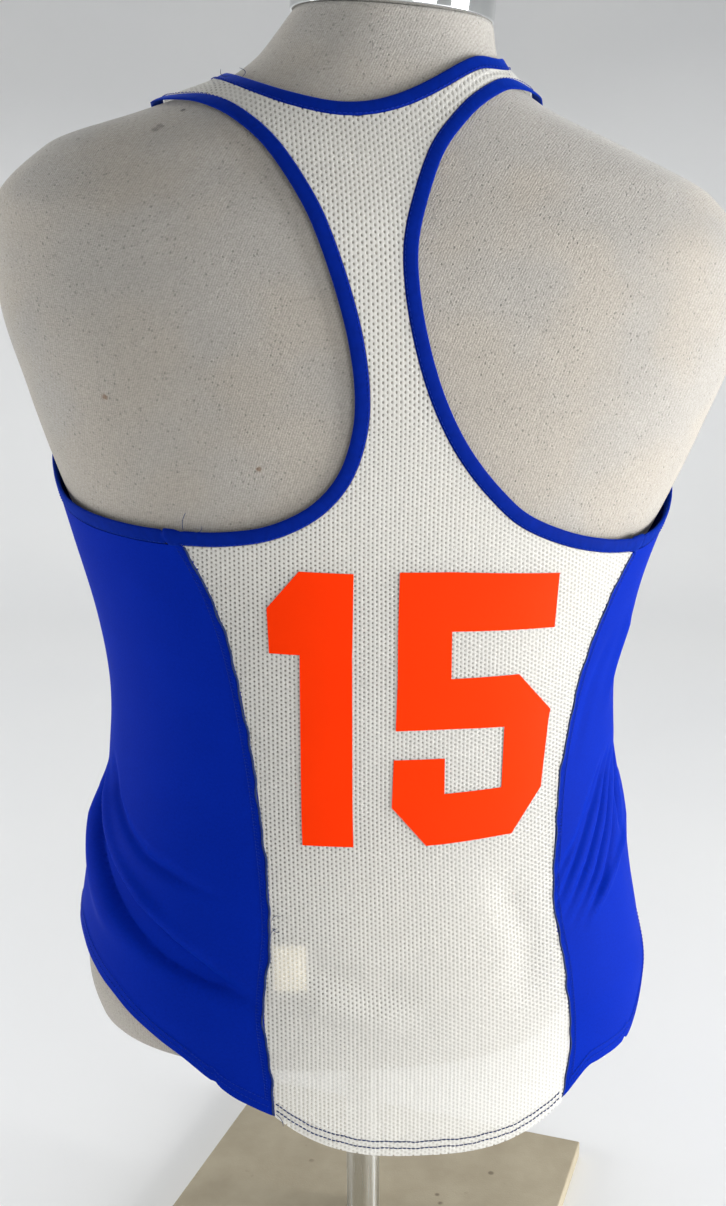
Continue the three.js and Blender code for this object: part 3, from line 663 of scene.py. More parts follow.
def gauge(sections, p, ease=0.0):
    """1 on the sections' surface, less inside, growing evenly outwards."""
    z = p[..., 2] - ease
    shift, half, back, front = (
        column(sections, key, z) for key in ("shift", "half_width", "back", "front")
    )
    across = np.abs(p[..., 0] - shift) / (half + ease)
    deep = np.abs(p[..., 1]) / (np.where(p[..., 1] < 0, back, front) + ease)
    size = (across**ROUNDNESS + deep**ROUNDNESS) ** (1 / ROUNDNESS)
    return np.where((z < sections["z"][0]) | (z > sections["z"][-1]), np.inf, size)


def cloth_gauge(p):
    """1 on the cloth's smooth inner face: the torso and the tube, melded."""
    form = np.maximum(gauge(TORSO, leaned(p, -1), EASE), LEAST)
    tube = np.maximum(gauge(TUBE, p), LEAST)
    return (form**-MELD + tube**-MELD) ** (-1 / MELD)


def spots(origin, direction):
    """Where rays from inside meet the cloth's smooth inner face, and its normals there."""
    inside = np.zeros(origin.shape[:-1])
    outside = np.full(origin.shape[:-1], float(RAY["reach"]))
    for _ in range(RAY["halvings"]):
        middle = (inside + outside) / 2
        within = cloth_gauge(origin + direction * middle[..., None]) < 1
        inside = np.where(within, middle, inside)
        outside = np.where(within, outside, middle)
    place = origin + direction * inside[..., None]
    steps = np.eye(3) * 0.5
    normal = np.stack([cloth_gauge(place + d) - cloth_gauge(place - d) for d in steps], axis=-1)
    return place, unit(normal)


def spots_flat(x, s, face):
    bend = np.maximum(0, (s - BEND["z"]) / BEND["radius"])
    origin = np.stack([x, np.zeros_like(x), np.minimum(s, BEND["z"])], axis=-1)
    return spots(origin, np.stack([np.zeros_like(x), face * np.cos(bend), np.sin(bend)], axis=-1))


def spots_round(angle, z):
    origin = np.stack([np.zeros_like(z), np.zeros_like(z), z], axis=-1)
    return spots(origin, np.stack([np.sin(angle), -np.cos(angle), np.zeros_like(z)], axis=-1))


def relief(place):
    """How far folds carry the cloth out from its smooth form, never into the torso."""
    angle = np.degrees(np.arctan2(place[..., 0], -place[..., 1]))
    here = np.stack([angle * ARC, place[..., 2]], axis=-1)
    lift = np.zeros(here.shape[:-1])
    for fold in FOLDS:
        path = np.array(fold["path"]) * [ARC, 1]
        reach = lengths(path)
        nearest = np.full(here.shape[:-1], np.inf)
        share = np.zeros(here.shape[:-1])
        for k, (a, b) in enumerate(zip(path, path[1:])):
            t = np.clip((here - a) @ (b - a) / ((b - a) @ (b - a)), 0, 1)
            away = np.linalg.norm(here - (a + t[..., None] * (b - a)), axis=-1)
            share = np.where(away < nearest, between(reach[k], reach[k + 1], t) / reach[-1], share)
            nearest = np.minimum(nearest, away)
        fade = np.minimum(1, FADE["start"] + FADE["in"] * share)
        fade = fade * np.minimum(1, FADE["out"] * (1 - share)) ** FADE["power"]
        lift += fold["depth"] * fade * np.exp(-((nearest / fold["width"]) ** 2))
    lift -= SETTLE["depth"] * np.clip((place[..., 2] - SETTLE["z"]) / SETTLE["over"], 0, 1)
    ratio = gauge(TORSO, leaned(place, -1))
    room = (1 - 1 / np.where(np.isfinite(ratio), ratio, FAR)) * np.hypot(place[..., 0], place[..., 1])
    return np.maximum(lift, CLEAR - room)


def cloth(found, lift=0.0):
    """Points on the draped cloth, lifted off its inner face."""
    place, normal = found
    lifted = np.asarray(relief(place) + lift)
    return place + normal * lifted[..., None]


def hem_lift(height):
    """The turned-up hem's extra thickness, by height above the edge."""
    step = np.clip((HEM["depth"] - height) / HEM["ramp"], 0, 1)
    return HEM["extra"] * step * step * (3 - 2 * step)


def back_arm(side):
    return lambda row: (along(BACK_ARM[side + "_x"], row), along(BACK_ARM[side + "_s"], row))


def neck_line(table):
    """A neckline's two halves, each by row from its lowest place up to the shoulder seam."""
    return lambda side: lambda row: (
        along(table["x"], NECK_ROW + SIGN[side] * row),
        along(table["s"], NECK_ROW + SIGN[side] * row),
    )


back_neck = neck_line(BACK_NECK)
front_neck = neck_line(FRONT_NECK)


def front_arm(side):
    return lambda row: (
        FRONT_MIDDLE + along(FRONT_ARM["slip"], row) + SIGN[side] * along(FRONT_ARM["half"], row),
        along(FRONT_ARM["s"], row),
    )


def beside(outline, row, distance, turn, face, corner=True):
    """Points beside an outline, at a true distance along the cloth towards the panel. turn is 1
    where the panel lies on the right of the outline's way up. An armhole starts at a corner."""
    step = 0.02
    row = np.asarray(row, float)
    x, s = outline(row)
    x0, s0 = outline(row - step)
    x1, s1 = outline(row + step)
    length = np.hypot(x1 - x0, s1 - s0)
    crest = s > CREST - GAP
    way_x = np.where(crest, turn, turn * (s1 - s0) / length)
    way_s = np.where(crest, 0, -turn * (x1 - x0) / length)
    middle = spots_flat(x, s, face)[0]
    reached = spots_flat(x + way_x * distance, s + way_s * distance, face)[0]
    spread = np.maximum(np.linalg.norm(reached - middle, axis=-1), 1e-6)
    true = distance * np.abs(distance) / spread
    start = (row == 0) & corner
    return np.where(start, x, x + way_x * true), np.where(start, s - distance, s + way_s * true)


def white_patches(seam, hem, arm, neck, rises, yoke, last_row, face):
    """A white panel as patches of (x, s): the body up to the yoke, and the two straps."""
    low = arm(LEFT)(np.array([0.0]))[1][0] - EDGE, arm(RIGHT)(np.array([0.0]))[1][0] - EDGE
    t = np.linspace(0, 1, FINE["seam"] + 1)[:-1]
    left_s = hem["left"] + (low[0] - hem["left"]) * t
    right_s = hem["right"] + (low[1] - hem["right"]) * t
    u = np.linspace(0, 1, FINE["across"] + 1)
    left_x = seam(left_s)[0] + GAP / 2
    right_x = seam(right_s)[1] - GAP / 2
    lower_x = between(left_x[:, None], right_x[:, None], u)
    drop = hem["dip"] * (1 - t[:, None]) ** 3 * (1 - np.abs(2 * u - 1) ** 3)
    lower_s = between(left_s[:, None], right_s[:, None], u) - drop
    rows = np.linspace(0, yoke, yoke * FINE["arm_row"] + 1)
    left_x, left_s = beside(arm(LEFT), rows, EDGE, 1, face)
    right_x, right_s = beside(arm(RIGHT), rows, EDGE, -1, face)
    left_x[0] = seam(np.array([low[0]]))[0][0] + GAP / 2
    right_x[0] = seam(np.array([low[1]]))[1][0] - GAP / 2
    neck_x, neck_s = neck(LEFT)(np.array([0.0]))
    last = np.clip(rows - yoke + 1, 0, 1)
    bow_x = last * (neck_x[0] - (left_x[-1] + right_x[-1]) / 2)
    aim_s = neck_s[0] - EDGE - (left_s[-1] + right_s[-1]) / 2
    bow_s = between(along(rises, rows), aim_s, last)
    bend = 4 * u * (1 - u)
    upper_x = between(left_x[:, None], right_x[:, None], u) + bow_x[:, None] * bend
    upper_s = between(left_s[:, None], right_s[:, None], u) + bow_s[:, None] * bend
    body = np.stack([np.vstack([lower_x, upper_x]), np.vstack([lower_s, upper_s])], axis=-1)
    lifts = hem_lift(body[..., 1] - body[0, :, 1])
    half = FINE["across"] // 2
    steps = NECK_ROW * FINE["neck_row"]
    t = np.linspace(0, 1, steps + 1)
    straps = []
    for side, turn in ((LEFT, 1), (RIGHT, -1)):
        outer = np.stack(beside(arm(side), yoke + (last_row - yoke) * t, EDGE, turn, face), axis=-1)
        inner = np.stack(beside(neck(side), NECK_ROW * t, EDGE, -turn, face, False), axis=-1)
        outer[-1, 1] = inner[-1, 1] = CREST - GAP / 2
        ends = (outer, inner) if side == LEFT else (inner, outer)
        first = body[-1, : half + 1] if side == LEFT else body[-1, half:]
        v = np.linspace(0, 1, half + 1)[None, :, None]
        strap = between(ends[0][:, None], ends[1][:, None], v)
        chord = between(first[0], first[-1], v[0])
        strap += (first - chord)[None] * ((1 - t) ** 3)[:, None, None]
        strap[0] = first
        straps.append(strap)
    return [(body, lifts), *[(strap, 0.0) for strap in straps]]


def sheet_piece(name, patches, flip):
    """A mesh from patches of (points, flat places); the flat places become its UV map."""
    points, faces, flat = [], [], []
    for grid, places in patches:
        count, across = grid.shape[:2]
        base = sum(len(block) for block in points)
        points.append(grid.reshape(-1, 3))
        flat.append(places.reshape(-1, 2) * MM)
        corner = base + np.arange((count - 1) * across).reshape(count - 1, across)[:, :-1]
        quads = np.stack([corner, corner + 1, corner + across + 1, corner + across], axis=-1)
        faces.append(quads[..., ::-1] if flip else quads)
    faces = np.concatenate([block.reshape(-1, 4) for block in faces])
    piece = built(name, np.concatenate(points), faces.tolist())
    layer = piece.data.uv_layers.new(name="flat")
    layer.data.foreach_set("uv", np.concatenate(flat)[faces.reshape(-1)].astype(np.float32).ravel())
    picked(piece)
    bpy.ops.object.mode_set(mode="EDIT")
    bpy.ops.mesh.select_all(action="SELECT")
    bpy.ops.mesh.remove_doubles(threshold=2e-6)
    bpy.ops.object.mode_set(mode="OBJECT")
    return piece


def thickened(piece, thickness):
    """Gives a sheet its thickness outwards, with closed edges."""
    bpy.context.view_layer.objects.active = piece
    wall = piece.modifiers.new("cloth_thickness", "SOLIDIFY")
    wall.thickness = thickness * MM
    wall.offset = 1
    bpy.ops.object.modifier_apply(modifier=wall.name)
    bpy.ops.object.shade_smooth_by_angle(angle=math.radians(50))
    return piece


SIDE_WIDTH = 200  # a side panel's usual width
RAW_EDGE = {"in": 0.45, "over": 0.9}


def edge_roll(way):
    """How far the raw edges of a side panel roll in, by the way across it."""
    edge = np.minimum(way, 1 - way) * SIDE_WIDTH
    return -RAW_EDGE["in"] * np.exp(-((edge / RAW_EDGE["over"]) ** 2))


def back_seam(z):
    return column(BACK_SEAM, "left", z), column(BACK_SEAM, "right", z)


def front_seam(z):
    half = column(FRONT_SEAM, "half", z)
    return FRONT_MIDDLE - half, FRONT_MIDDLE + half


mesh_knit = Finish("eyelet_mesh", "eceae6", 0.75, Specular_IOR_Level=0.2)
EYELET = {"across": 2.34, "up": 2.58, "width": 0.26, "height": 0.27}  # millimetres, and shares
STRETCH = {"from": 560, "up": 3.3}  # the racerback is pulled longer above this place
SHEER = {"cloth": 0.66, "thread_light": 0.35}
flat = mesh_knit.flat()
parts = mesh_knit.node("ShaderNodeSeparateXYZ", {}, {0: flat})
side_step = parts * (1000 / EYELET["across"])
height = Link(mesh_knit, parts.socket.node.outputs["Y"]) * 1000
stretched = (height - STRETCH["from"]).math("MAXIMUM", 0.0)
up_step = height / EYELET["up"] - stretched * (1 / EYELET["up"] - 1 / STRETCH["up"])
half_drop = (side_step.math("FLOOR") * 0.5).math("FRACT")
from_side = side_step.math("FRACT") - 0.5
from_up = (up_step + half_drop).math("FRACT") - 0.5
away = ((from_side / EYELET["width"]) ** 2 + (from_up / EYELET["height"]) ** 2) ** 0.5
eyelet = 1 - mesh_knit.band(away, 0.6, 1.0)
dimple_and_painted_shade = 1 - mesh_knit.band(away, 0.5, 1.7)
fibres = mesh_knit.noise(mesh_knit.place(), 2400)
uneven = mesh_knit.noise(flat, 22, detail=3.0)
shade = mesh_knit.mix(fibres * 0.4 + uneven * 0.3, tint("f8f7f3"), tint("dfddd8"))
# painted shade: the dip round each eyelet is painted darker grey-beige, as well as sunk by the bump
mesh_knit.feed(
    mesh_knit.shader,
    {
        "Base Color": mesh_knit.mix(dimple_and_painted_shade * 0.3, shade, tint("a9a49b")),
        "Alpha": (1 - eyelet) * SHEER["cloth"],
    },
)
mesh_knit.bump(fibres * 0.25 - dimple_and_painted_shade, 0.00045, 0.8)
glow = mesh_knit.node("ShaderNodeBsdfTranslucent", {}, {"Color": tint("fbfaf4")})
both = mesh_knit.node(
    "ShaderNodeMixShader",
    {},
    {0: (1 - eyelet) * SHEER["thread_light"], 1: Link(mesh_knit, mesh_knit.shader.outputs[0]), 2: glow},
)
mesh_knit.tree.links.new(both.socket, mesh_knit.tree.nodes["Material Output"].inputs[0])

for name, face, cut, area, sizes, node in (
    (
        "back_panel_mesh",
        BACK,
        (0.26, 0.66),
        0.083,
        (back_seam, BACK_HEM, back_arm, back_neck, BACK_ARM["rise"], BACK_YOKE, BACK_ROWS),
        "back_panel",
    ),
    (
        "front_panel_mesh",
        FRONT,
        (0.27, 0.62),
        0.11,
        (front_seam, FRONT_HEM, front_arm, front_neck, FRONT_ARM["rise"], FRONT_YOKE, FRONT_ROWS),
        "front_panel",
    ),
):
    patches = []
    for places, lifts in white_patches(*sizes, face):
        patches.append((cloth(spots_flat(places[..., 0], places[..., 1], face), lifts), places))
    panel = thickened(sheet_piece(name, patches, flip=face == FRONT), WALL)
    placed(panel, name, mesh_knit, "white_mesh", node)

ROYAL = {"Specular_IOR_Level": 0.02, "Sheen_Tint": tint("1a60ff")}

blue_knit = Finish("blue_warp_knit", "1431b4", 0.6, Sheen_Weight=0.1, **ROYAL)
flat = blue_knit.flat()
ribs = blue_knit.scaled(flat, (2600, 500, 1))
wale = blue_knit.noise(ribs, 1.0, detail=1.0)
patchy = blue_knit.noise(flat, 30, detail=3.0)
grain = blue_knit.noise(flat, 800, detail=2.0)
dyed = wale * 0.3 + patchy * 0.25 + grain * 0.5 - 0.2
blue_knit.paint(blue_knit.mix(dyed, tint("02259c"), tint("01126a")))
blue_knit.bump(wale, 0.00012, 0.6)


NOTCHES = [  # where the side hems are nicked or stepped
    {"side": LEFT, "way": 0.125, "width": 0.006, "rise": 2.2},
    {"side": RIGHT, "way": 0.2, "width": 0.006, "rise": 2.6},
]


def side_hem(side, way):
    """Height of a side panel's hem, with its nicks and a slight waver."""
    hem = column(SIDES, side + "_hem", way, by="way")
    ripple = np.sin(way * 41) * 0.25 + np.sin(way * 97 + 2) * 0.15
    for notch in NOTCHES:
        if notch["side"] == side:
            ripple += notch["rise"] * np.exp(-(((way - notch["way"]) / notch["width"]) ** 2))
    return hem + ripple * np.sin(np.pi * np.clip(way, 0, 1)) ** 0.3


def side_top(side, way):
    """Height of the middle of the binding over a side panel."""
    return column(SIDES, side + "_top", way, by="way")


def turn_of(found):
    return np.arctan2(found[0][..., 0], -found[0][..., 1])


def side_spots(side, way, z):
    """Spots on a side panel at way (0 back seam, 1 front seam) and height."""
    pick = 0 if side == LEFT else 1
    shift = SIGN[side] * GAP / 2
    back = turn_of(spots_flat(back_seam(z)[pick] + shift, z, BACK))
    front = turn_of(spots_flat(front_seam(z)[pick] + shift, z, FRONT))
    return spots_round(back + (front - back) * way, z)


for side in (LEFT, RIGHT):
    way = np.linspace(0, 1, FINE["side"] + 1)
    up = np.linspace(0, 1, FINE["side_up"] + 1)
    top = side_top(side, way) - EDGE
    hem = side_hem(side, way)
    z = hem[None, :] + (top - hem)[None, :] * up[:, None]
    ways = np.broadcast_to(way, z.shape)
    grid = cloth(side_spots(side, ways, z), edge_roll(ways) + hem_lift(z - hem))
    places = np.stack([ways * SIDE_WIDTH, z], axis=-1)
    panel = sheet_piece(f"side_panel_{side}_knit", [(grid, places)], flip=side == LEFT)
    thickened(panel, WALL)
    placed(panel, panel.name, blue_knit, "blue_knit", f"side_panel_{side}")

# ---------------------------------------------------------------- bindings
# Royal blue strips of the side knit, folded over the raw edges of the armholes and the neck
# and stitched down. Each is a soft, slightly full roll.
ROLL = {"around": 16, "flatness": 0.78, "step": 1.3}  # step: millimetres from side to side of it
DRAWN = {"from": 722, "over": 32, "thinner": 0.45, "narrower": 0.1}  # towards the shoulder seams

binding_knit = Finish("binding_knit", "12299c", 0.6, Sheen_Weight=0.35, **ROYAL)
flat = binding_knit.flat()
puckers = binding_knit.noise(flat, 260, detail=1.0)
threads = binding_knit.noise(flat, 2200, detail=1.0)
binding_knit.paint(binding_knit.mix(puckers * 0.5, tint("031f80"), tint("020f4e")))
binding_knit.bump(puckers + threads * 0.2, 0.0004, 0.5)


def roll_profile():
    """The roll's outline: distance across the strip and lift off the cloth's inner face."""
    angle = turns(ROLL["around"])
    across = squared(np.cos(angle), ROLL["flatness"]) * BAND["width"] / 2
    lift = squared(np.sin(angle), ROLL["flatness"]) * BAND["thickness"] / 2
    return across, WALL / 2 + lift


JOINTS = {
    LEFT: {"at": -4.5, "width": 8.5, "swell": 0.20, "crease": 0.30},
    RIGHT: {"at": -2.5, "width": 7, "swell": 0.32, "crease": 0.25},
}
JOINT_CREASE = {"beyond": 0.8, "width": 0.7}
JOINT_RING = 40  # an armhole's rings are counted so that its joint is near this one


def jointed(rings, joint):
    """Swells a roll beside its first ring, where its ends are lapped, with a crease each side."""
    rings = np.roll(rings, JOINT_RING, axis=0)
    length = lengths(rings.mean(axis=1))
    away = np.abs(length - length[JOINT_RING] - joint["at"])
    flat_top = 1 / (1 + (away / (joint["width"] / 2)) ** 10)
    aside = away - joint["width"] / 2 - JOINT_CREASE["beyond"]
    crease = np.exp(-((aside / JOINT_CREASE["width"]) ** 2))
    scale = 1 + joint["swell"] * flat_top - joint["crease"] * crease
    middle = rings.mean(axis=1, keepdims=True)
    return np.roll(middle + (rings - middle) * scale[:, None, None], -JOINT_RING, axis=0)


def rolled(outline, rows, turn, face, corner=True):
    """Rings of a roll along an outline of a white panel."""
    across, lift = roll_profile()
    rings = []
    for by, height in zip(across, lift):
        share = np.clip((outline(rows)[1] - DRAWN["from"]) / DRAWN["over"], 0, 1)
        reach = by * (1 - DRAWN["narrower"] * share)
        x, s = beside(outline, rows, reach, turn, face, corner)
        rise = WALL / 2 + (height - WALL / 2) * (1 - DRAWN["thinner"] * share)
        rings.append(cloth(spots_flat(x, s, face), rise))
    return np.stack(rings, axis=1)


def roll_piece(name, rings, outward):
    """A closed roll from rings that go round it, with a UV map along and across it."""
    count, around = rings.shape[:2]
    loop = np.concatenate([rings, rings[:1]])
    loop = np.concatenate([loop, loop[:, :1]], axis=1)
    length = lengths(loop[:, 0])[:, None]
    girth = np.arange(around + 1) * ROLL["step"]
    places = np.stack(np.broadcast_arrays(length, girth), axis=-1)
    return sheet_piece(name, [(loop, places)], flip=outward)


for side in (LEFT, RIGHT):
    turn = -SIGN[side]
    back_rows = np.linspace(0, BACK_ROWS, BACK_ROWS * ROLL_FINE["back"] + 1)
    front_rows = np.linspace(FRONT_ROWS, 0, FRONT_ROWS * ROLL_FINE["front"] + 1)
    back = rolled(back_arm(side), back_rows, turn, BACK)
    front = rolled(front_arm(side), front_rows, turn, FRONT)
    way = np.linspace(1, 0, FINE["side"] + 1)[1:-1]
    top = side_top(side, way)
    across, lift = roll_profile()
    under = [cloth(side_spots(side, way, top - by), height) for by, height in zip(across, lift)]
    rings = jointed(np.concatenate([back, front[1:], np.stack(under, axis=1)]), JOINTS[side])
    roll = roll_piece(f"armhole_roll_{side}", rings, outward=side == LEFT)
    placed(roll, roll.name, binding_knit, "blue_knit", f"armhole_binding_{side}")

rows = np.linspace(0, NECK_ROW, NECK_ROW * ROLL_FINE["neck"] + 1)
quarters = [
    rolled(back_neck(RIGHT), rows, 1, BACK, False),
    rolled(front_neck(RIGHT), rows, 1, FRONT, False)[::-1][1:],
    rolled(front_neck(LEFT), rows, -1, FRONT, False)[1:],
    rolled(back_neck(LEFT), rows, -1, BACK, False)[::-1][1:-1],
]
roll = roll_piece("neck_roll", np.concatenate(quarters), outward=False)
placed(roll, roll.name, binding_knit, "blue_knit", "neck_binding")

# ---------------------------------------------------------------- seams and stitching
# The side seams are overlocked, so a dark folded edge shows between the panels and a ladder of
# thread lies on the blue side. Hems are turned up under two rows of navy coverstitch, and a
# row of lockstitch holds each binding.
SEAM_EDGE = {"radius": 0.62, "waver": 0.35, "sides": 6, "short": 1}
LADDER = {"from": 2.6, "to": 4.4, "pitch": 1.9, "radius": 0.17, "slant": 0.8, "arch": 0.15, "start": 5}
COVER_ROW = {"length": 2.6, "gap": 0.05, "radius": 0.4}
LADDER_ROW = {"length": 1.7, "gap": 0.2, "radius": 0.2}
BINDING_ROW = {"length": 2.0, "gap": 0.9, "radius": 0.2, "across": 3.1}
SIDE_HEM_THREAD = 0.2  # radius of the finer thread in the blue hems
SEAM_LIFT = WALL + 0.05
TRIM_LIFT = WALL + 0.45
THREAD = {"sides": 5, "end": 0.7}  # a thread narrows to this share at its ends
STITCH = {"along": (0, 0.2, 0.5, 0.8, 1), "height": (-1.4, 0.1, 0.5, 0.1, -1.4)}  # height in radii


def strung(points, normals, row, thread=None):
    """Stitches of one row along a line, each with its ends sunk in the cloth and its middle
    raised. It gives their points, the way up at each and the thread's radius."""
    length = lengths(points)
    pitch = row["length"] + row["gap"]
    starts = np.arange(0, length[-1] - pitch, pitch)

    def along_line(places, values):
        return np.stack([np.interp(places, length, values[:, k]) for k in range(3)], axis=-1)

    up = along_line(starts + row["length"] / 2, normals)
    strands = []
    for share, by in zip(STITCH["along"], STITCH["height"]):
        strands.append(along_line(starts + row["length"] * share, points) + up * row["radius"] * by)
    return np.stack(strands, axis=1), up, thread or row["radius"]


def round_about(across, over, sides):
    """Directions round each point of a line, from its two cross directions."""
    angle = turns(sides)[None, :, None]
    return across[:, None] * np.cos(angle) + over[:, None] * np.sin(angle)


def thread_piece(name, groups, finish):
    """One mesh of many short threads. Each group is (strands, up, radius)."""
    points, faces = [], []
    for strands, up, radius in groups:
        ahead = unit(strands[:, -1] - strands[:, 0])
        across = unit(np.cross(ahead, up))
        count, knots = strands.shape[:2]
        round_it = round_about(across, np.cross(across, ahead), THREAD["sides"])
        girth = radius * np.where(np.arange(knots) % (knots - 1) == 0, THREAD["end"], 1)
        rings = strands[:, :, None, :] + round_it[:, None] * girth[None, :, None, None]
        base = sum(len(block) for block in points)
        number = base + np.arange(count * knots * THREAD["sides"])
        number = number.reshape(count, knots, THREAD["sides"])
        low, high = number[:, :-1], number[:, 1:]
        quads = [low, np.roll(low, -1, axis=2), np.roll(high, -1, axis=2), high]
        faces += np.stack(quads, axis=-1).reshape(-1, 4).tolist()
        faces += number[:, 0, ::-1].tolist() + number[:, -1].tolist()
        points.append(rings.reshape(-1, 3))
    placed(built(name, np.concatenate(points), faces), name, finish, None)


def side_line(side, end, offset, heights, lift):
    """Points and normals up a side panel, at a distance from its back or front seam."""
    start, inward = (0.0, 0.02) if end == BACK else (1.0, -0.02)
    seam = side_spots(side, np.full_like(heights, start), heights)[0]
    reached = side_spots(side, np.full_like(heights, start + inward), heights)[0]
    share = offset / np.linalg.norm(reached - seam, axis=-1)
    found = side_spots(side, start + inward * share, heights)
    return cloth(found, lift), found[1]


def flat_line(places, face, lift):
    found = spots_flat(places[:, 0], places[:, 1], face)
    return cloth(found, lift), found[1]


def trim_row(outline, rows, turn, face, corner=True):
    """A row of stitches on a white panel, beside the middle line of its binding."""
    line = beside(outline, rows, BINDING_ROW["across"], turn, face, corner)
    points = flat_line(np.stack(line, axis=-1), face, TRIM_LIFT)
    return strung(*points, BINDING_ROW)


def thread_finish(name, color, roughness, dark, light):
    """The material of a twisted sewing thread."""
    made = Finish(name, color, roughness, Specular_IOR_Level=0.1)
    twist = made.noise(made.place(), 2600, detail=1.0)
    made.paint(made.mix(twist, tint(dark), tint(light)))
    made.bump(twist, 0.00015)
    return made


navy_thread = thread_finish("navy_thread", "18264f", 0.7, "14204a", "34436b")
blue_thread = thread_finish("blue_thread", "1c44cc", 0.6, "041f78", "0c2f9e")

edges = []
ladders = []
hem_rows = []
trim_rows = []
for side in (LEFT, RIGHT):
    for end, pick in ((BACK, 0), (FRONT, -1)):
        low = side_hem(side, np.array([0.0, 1.0]))[pick] + SEAM_EDGE["short"]
        high = SIDES[side + "_top"][pick] - EDGE - SEAM_EDGE["short"]
        heights = np.linspace(low, high, 420)
        waver = np.sin(heights / 4.1) + np.sin(heights / 2.3 + 1) * 0.7 + np.sin(heights / 9.7)
        points, normals = side_line(side, end, 0.1, heights, SEAM_LIFT)
        sideways = unit(np.cross(np.gradient(points, axis=0), normals))
        points = points + sideways * (waver * SEAM_EDGE["waver"])[:, None]
        girth = SEAM_EDGE["radius"] * (1 + 0.12 * np.sin(heights * 1.9))
        round_it = round_about(sideways, normals, SEAM_EDGE["sides"])
        edges.append(points[:, None] + girth[:, None, None] * round_it)
        heights = np.arange(low + LADDER["start"], high, LADDER["pitch"])
        near, up = side_line(side, end, LADDER["from"], heights, SEAM_LIFT)
        far = side_line(side, end, LADDER["to"], heights + LADDER["slant"], SEAM_LIFT)[0]
        middle = (near + far) / 2 + up * LADDER["arch"]
        ladders.append((np.stack([near, middle, far], axis=1), up, LADDER["radius"]))
        heights = np.linspace(low + LADDER["start"], high, 400)
        rail = side_line(side, end, LADDER["to"], heights, SEAM_LIFT)
        ladders.append(strung(*rail, LADDER_ROW))
    for row in HEM["rows"]:
        ways = np.linspace(0.01, 0.99, 400)
        found = side_spots(side, ways, side_hem(side, ways) + row)
        points = cloth(found, WALL + HEM["extra"])
        trim_rows.append(strung(points, found[1], COVER_ROW, SIDE_HEM_THREAD))
    turn = -SIGN[side]
    trim_rows.append(trim_row(back_arm(side), np.linspace(0, BACK_ROWS, 700), turn, BACK))
    trim_rows.append(trim_row(front_arm(side), np.linspace(0, FRONT_ROWS, 600), turn, FRONT))
    ways = np.linspace(0.01, 0.99, 400)
    found = side_spots(side, ways, side_top(side, ways) - BINDING_ROW["across"])
    trim_rows.append(strung(cloth(found, TRIM_LIFT), found[1], BINDING_ROW))
    for neck, face in ((back_neck, BACK), (front_neck, FRONT)):
        trim_rows.append(trim_row(neck(side), np.linspace(0, NECK_ROW, 500), -turn, face, False))

for face, seam, hem in ((BACK, back_seam, BACK_HEM), (FRONT, front_seam, FRONT_HEM)):
    for row in HEM["rows"]:
        u = np.linspace(0.006, 0.994, 500)
        s = between(hem["left"], hem["right"], u) + row
        x = between(seam(hem["left"] + row)[0], seam(hem["right"] + row)[1], u)
        drop = hem["dip"] * (1 - np.abs(2 * u - 1) ** 3)
        waver = np.sin(u * 37) * 0.25 + np.sin(u * 91) * 0.15
        places = np.stack([x, s - drop + waver], axis=-1)
        hem_rows.append(strung(*flat_line(places, face, WALL + HEM["extra"]), COVER_ROW))

STRAY_THREAD = 0.19
STRAYS = [  # loose ends: place on the back (x, s), where the end reaches, and how far it curls
    {"from": (-111, 504), "to": (-109, 514), "lift": 1.5, "curl": 1.0},
    {"from": (-105, 503), "to": (-101, 507), "lift": 1.2, "curl": -1.5},
    {"from": (-77, 752), "to": (-80, 757), "lift": 3.5, "curl": 2.5},
    {"from": (-71, 745), "to": (-71, 749), "lift": 3.0, "curl": -2.0},
    {"from": (-70, 285), "to": (-65, 288), "lift": 1.6, "curl": 1.5},
    {"from": (-70, 281), "to": (-66, 279), "lift": 1.4, "curl": -1.0},
    {"from": (-71, 276), "to": (-67, 281), "lift": 1.0, "curl": 1.2},
    {"from": (-70, 168), "to": (-66, 161), "lift": 0.8, "curl": 1.0},
]
for stray in STRAYS:
    a, b = np.array(stray["from"], float), np.array(stray["to"], float)
    t = np.linspace(0, 1, 7)[:, None]
    bow = np.array([-(b - a)[1], (b - a)[0]]) / np.linalg.norm(b - a) * stray["curl"]
    places = a + (b - a) * t + bow * np.sin(np.pi * t)
    points, normals = flat_line(places, BACK, WALL + 0.9 + stray["lift"] * t[:, 0] ** 1.5)
    hem_rows.append((points[None], normals[3:4], STRAY_THREAD))

for k, rings in enumerate(edges):
    edge = stacked(f"seam_edge_{k + 1}", rings)
    placed(edge, edge.name, navy_thread, None)
thread_piece("hem_coverstitch", hem_rows, navy_thread)
thread_piece("seam_ladders", ladders, blue_thread)
thread_piece("trim_stitching", trim_rows, blue_thread)

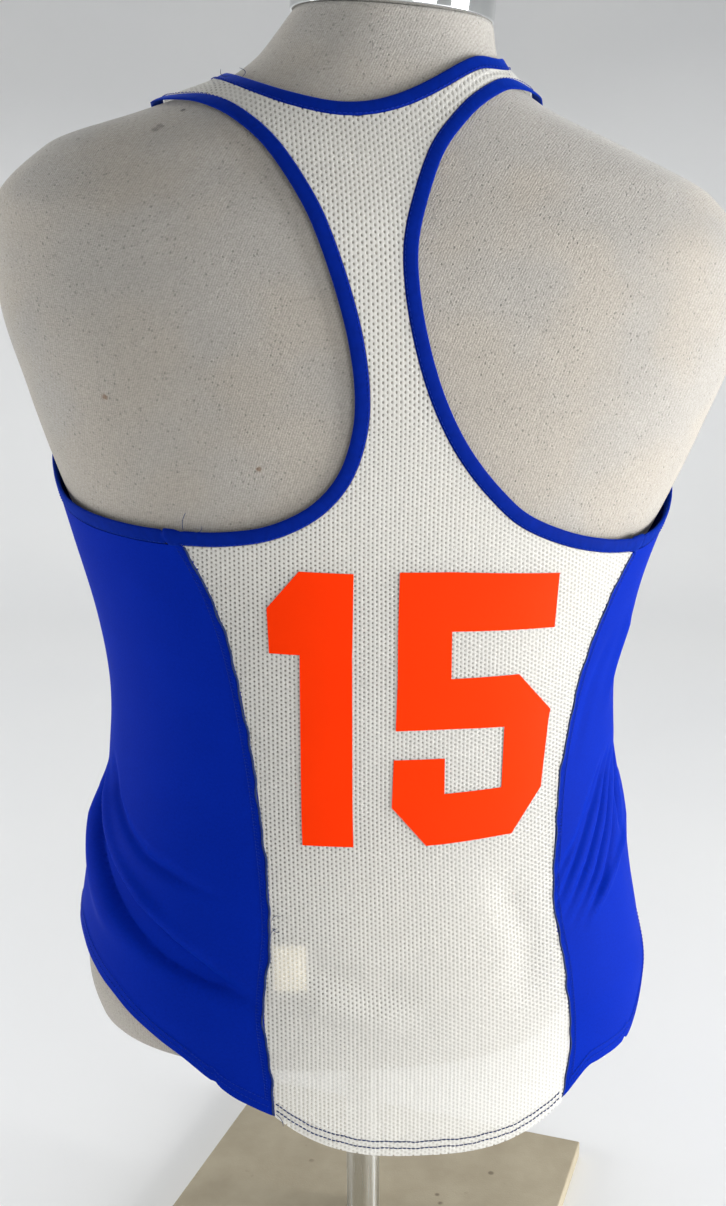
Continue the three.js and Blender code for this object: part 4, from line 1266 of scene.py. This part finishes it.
# ---------------------------------------------------------------- numerals
# Plain block figures, cut from matt orange film and pressed on to the back panel.
FILM = {"lift": WALL + 0.12, "thickness": 0.35, "cells": 14}
ONE = [
    [(-52, 327), (-24, 325), (-24, 381), (-52, 382)],
    [(-52, 382), (-24, 381), (-24, 436), (-52, 436)],
    [(-52, 436), (-24, 436), (-23, 480), (-52, 482)],
    [(-68, 437), (-52, 436), (-52, 482), (-69, 462)],
]
FIVE = [
    [(1, 446), (31, 446), (31, 479), (2, 480)],
    [(31, 446), (92, 443), (94, 474), (31, 479)],
    [(1, 419), (31, 419), (31, 446), (1, 446)],
    [(0, 391), (31, 390), (31, 419), (1, 419)],
    [(31, 390), (63, 388), (71, 418), (31, 419)],
    [(63, 388), (91, 388), (92, 394), (71, 418)],
    [(62, 352), (87, 348), (91, 388), (63, 388)],
    [(62, 324), (68, 324), (87, 348), (62, 352)],
    [(28, 323), (62, 324), (62, 352), (28, 352)],
    [(17, 323), (28, 323), (28, 352), (-2, 346)],
    [(-2, 346), (28, 352), (28, 373), (-1, 374)],
]


def figure(name, corners, lift, thickness):
    """A flat shape of four-cornered patches, laid on the back panel."""
    share = np.linspace(0, 1, FILM["cells"] + 1)
    u, v = share[None, :, None], share[:, None, None]
    patches = []
    for a, b, c, d in np.array(corners, float):
        places = between(between(a, b, u), between(d, c, u), v)
        patches.append((cloth(spots_flat(places[..., 0], places[..., 1], BACK), lift), places))
    return thickened(sheet_piece(name, patches, flip=False), thickness)


film = Finish("orange_film", "fb3f08", 0.5, Specular_IOR_Level=0.03)
where = film.place()
pressed = film.noise(where, 420, detail=2.0)
film.paint(film.mix(film.noise(where, 14), tint("ef3402"), tint("e42e01")))
film.bump(pressed, 0.0002, 0.4)
for name, corners, node in (("figure_one", ONE, "numeral_1"), ("figure_five", FIVE, "numeral_5")):
    piece = figure(name, corners, FILM["lift"], FILM["thickness"])
    placed(piece, name, film, "orange_film", node)

# ---------------------------------------------------------------- care label
# A blank cream satin ribbon, sewn inside the back panel at the wearer's left seam.
LABEL = {"lift": -1.2, "thickness": 0.5}
RIBBON = [[(-70, 244), (-52, 244), (-52, 270), (-70, 270)]]

satin = Finish("cream_satin", "fbf1da", 0.45, Sheen_Weight=0.3)
satin.bump(satin.noise(satin.place(), 1800), 0.0001, 0.5)
ribbon = figure("care_label_ribbon", RIBBON, LABEL["lift"], LABEL["thickness"])
placed(ribbon, "care_label_ribbon", satin, "cream_satin", "care_label")

# ---------------------------------------------------------------- bounds of the CAD parts and of the rebuilt pieces
visual_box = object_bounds()
sizes = {"cad": [list(corner) for corner in cad_box], "visual": [list(c) for c in visual_box]}
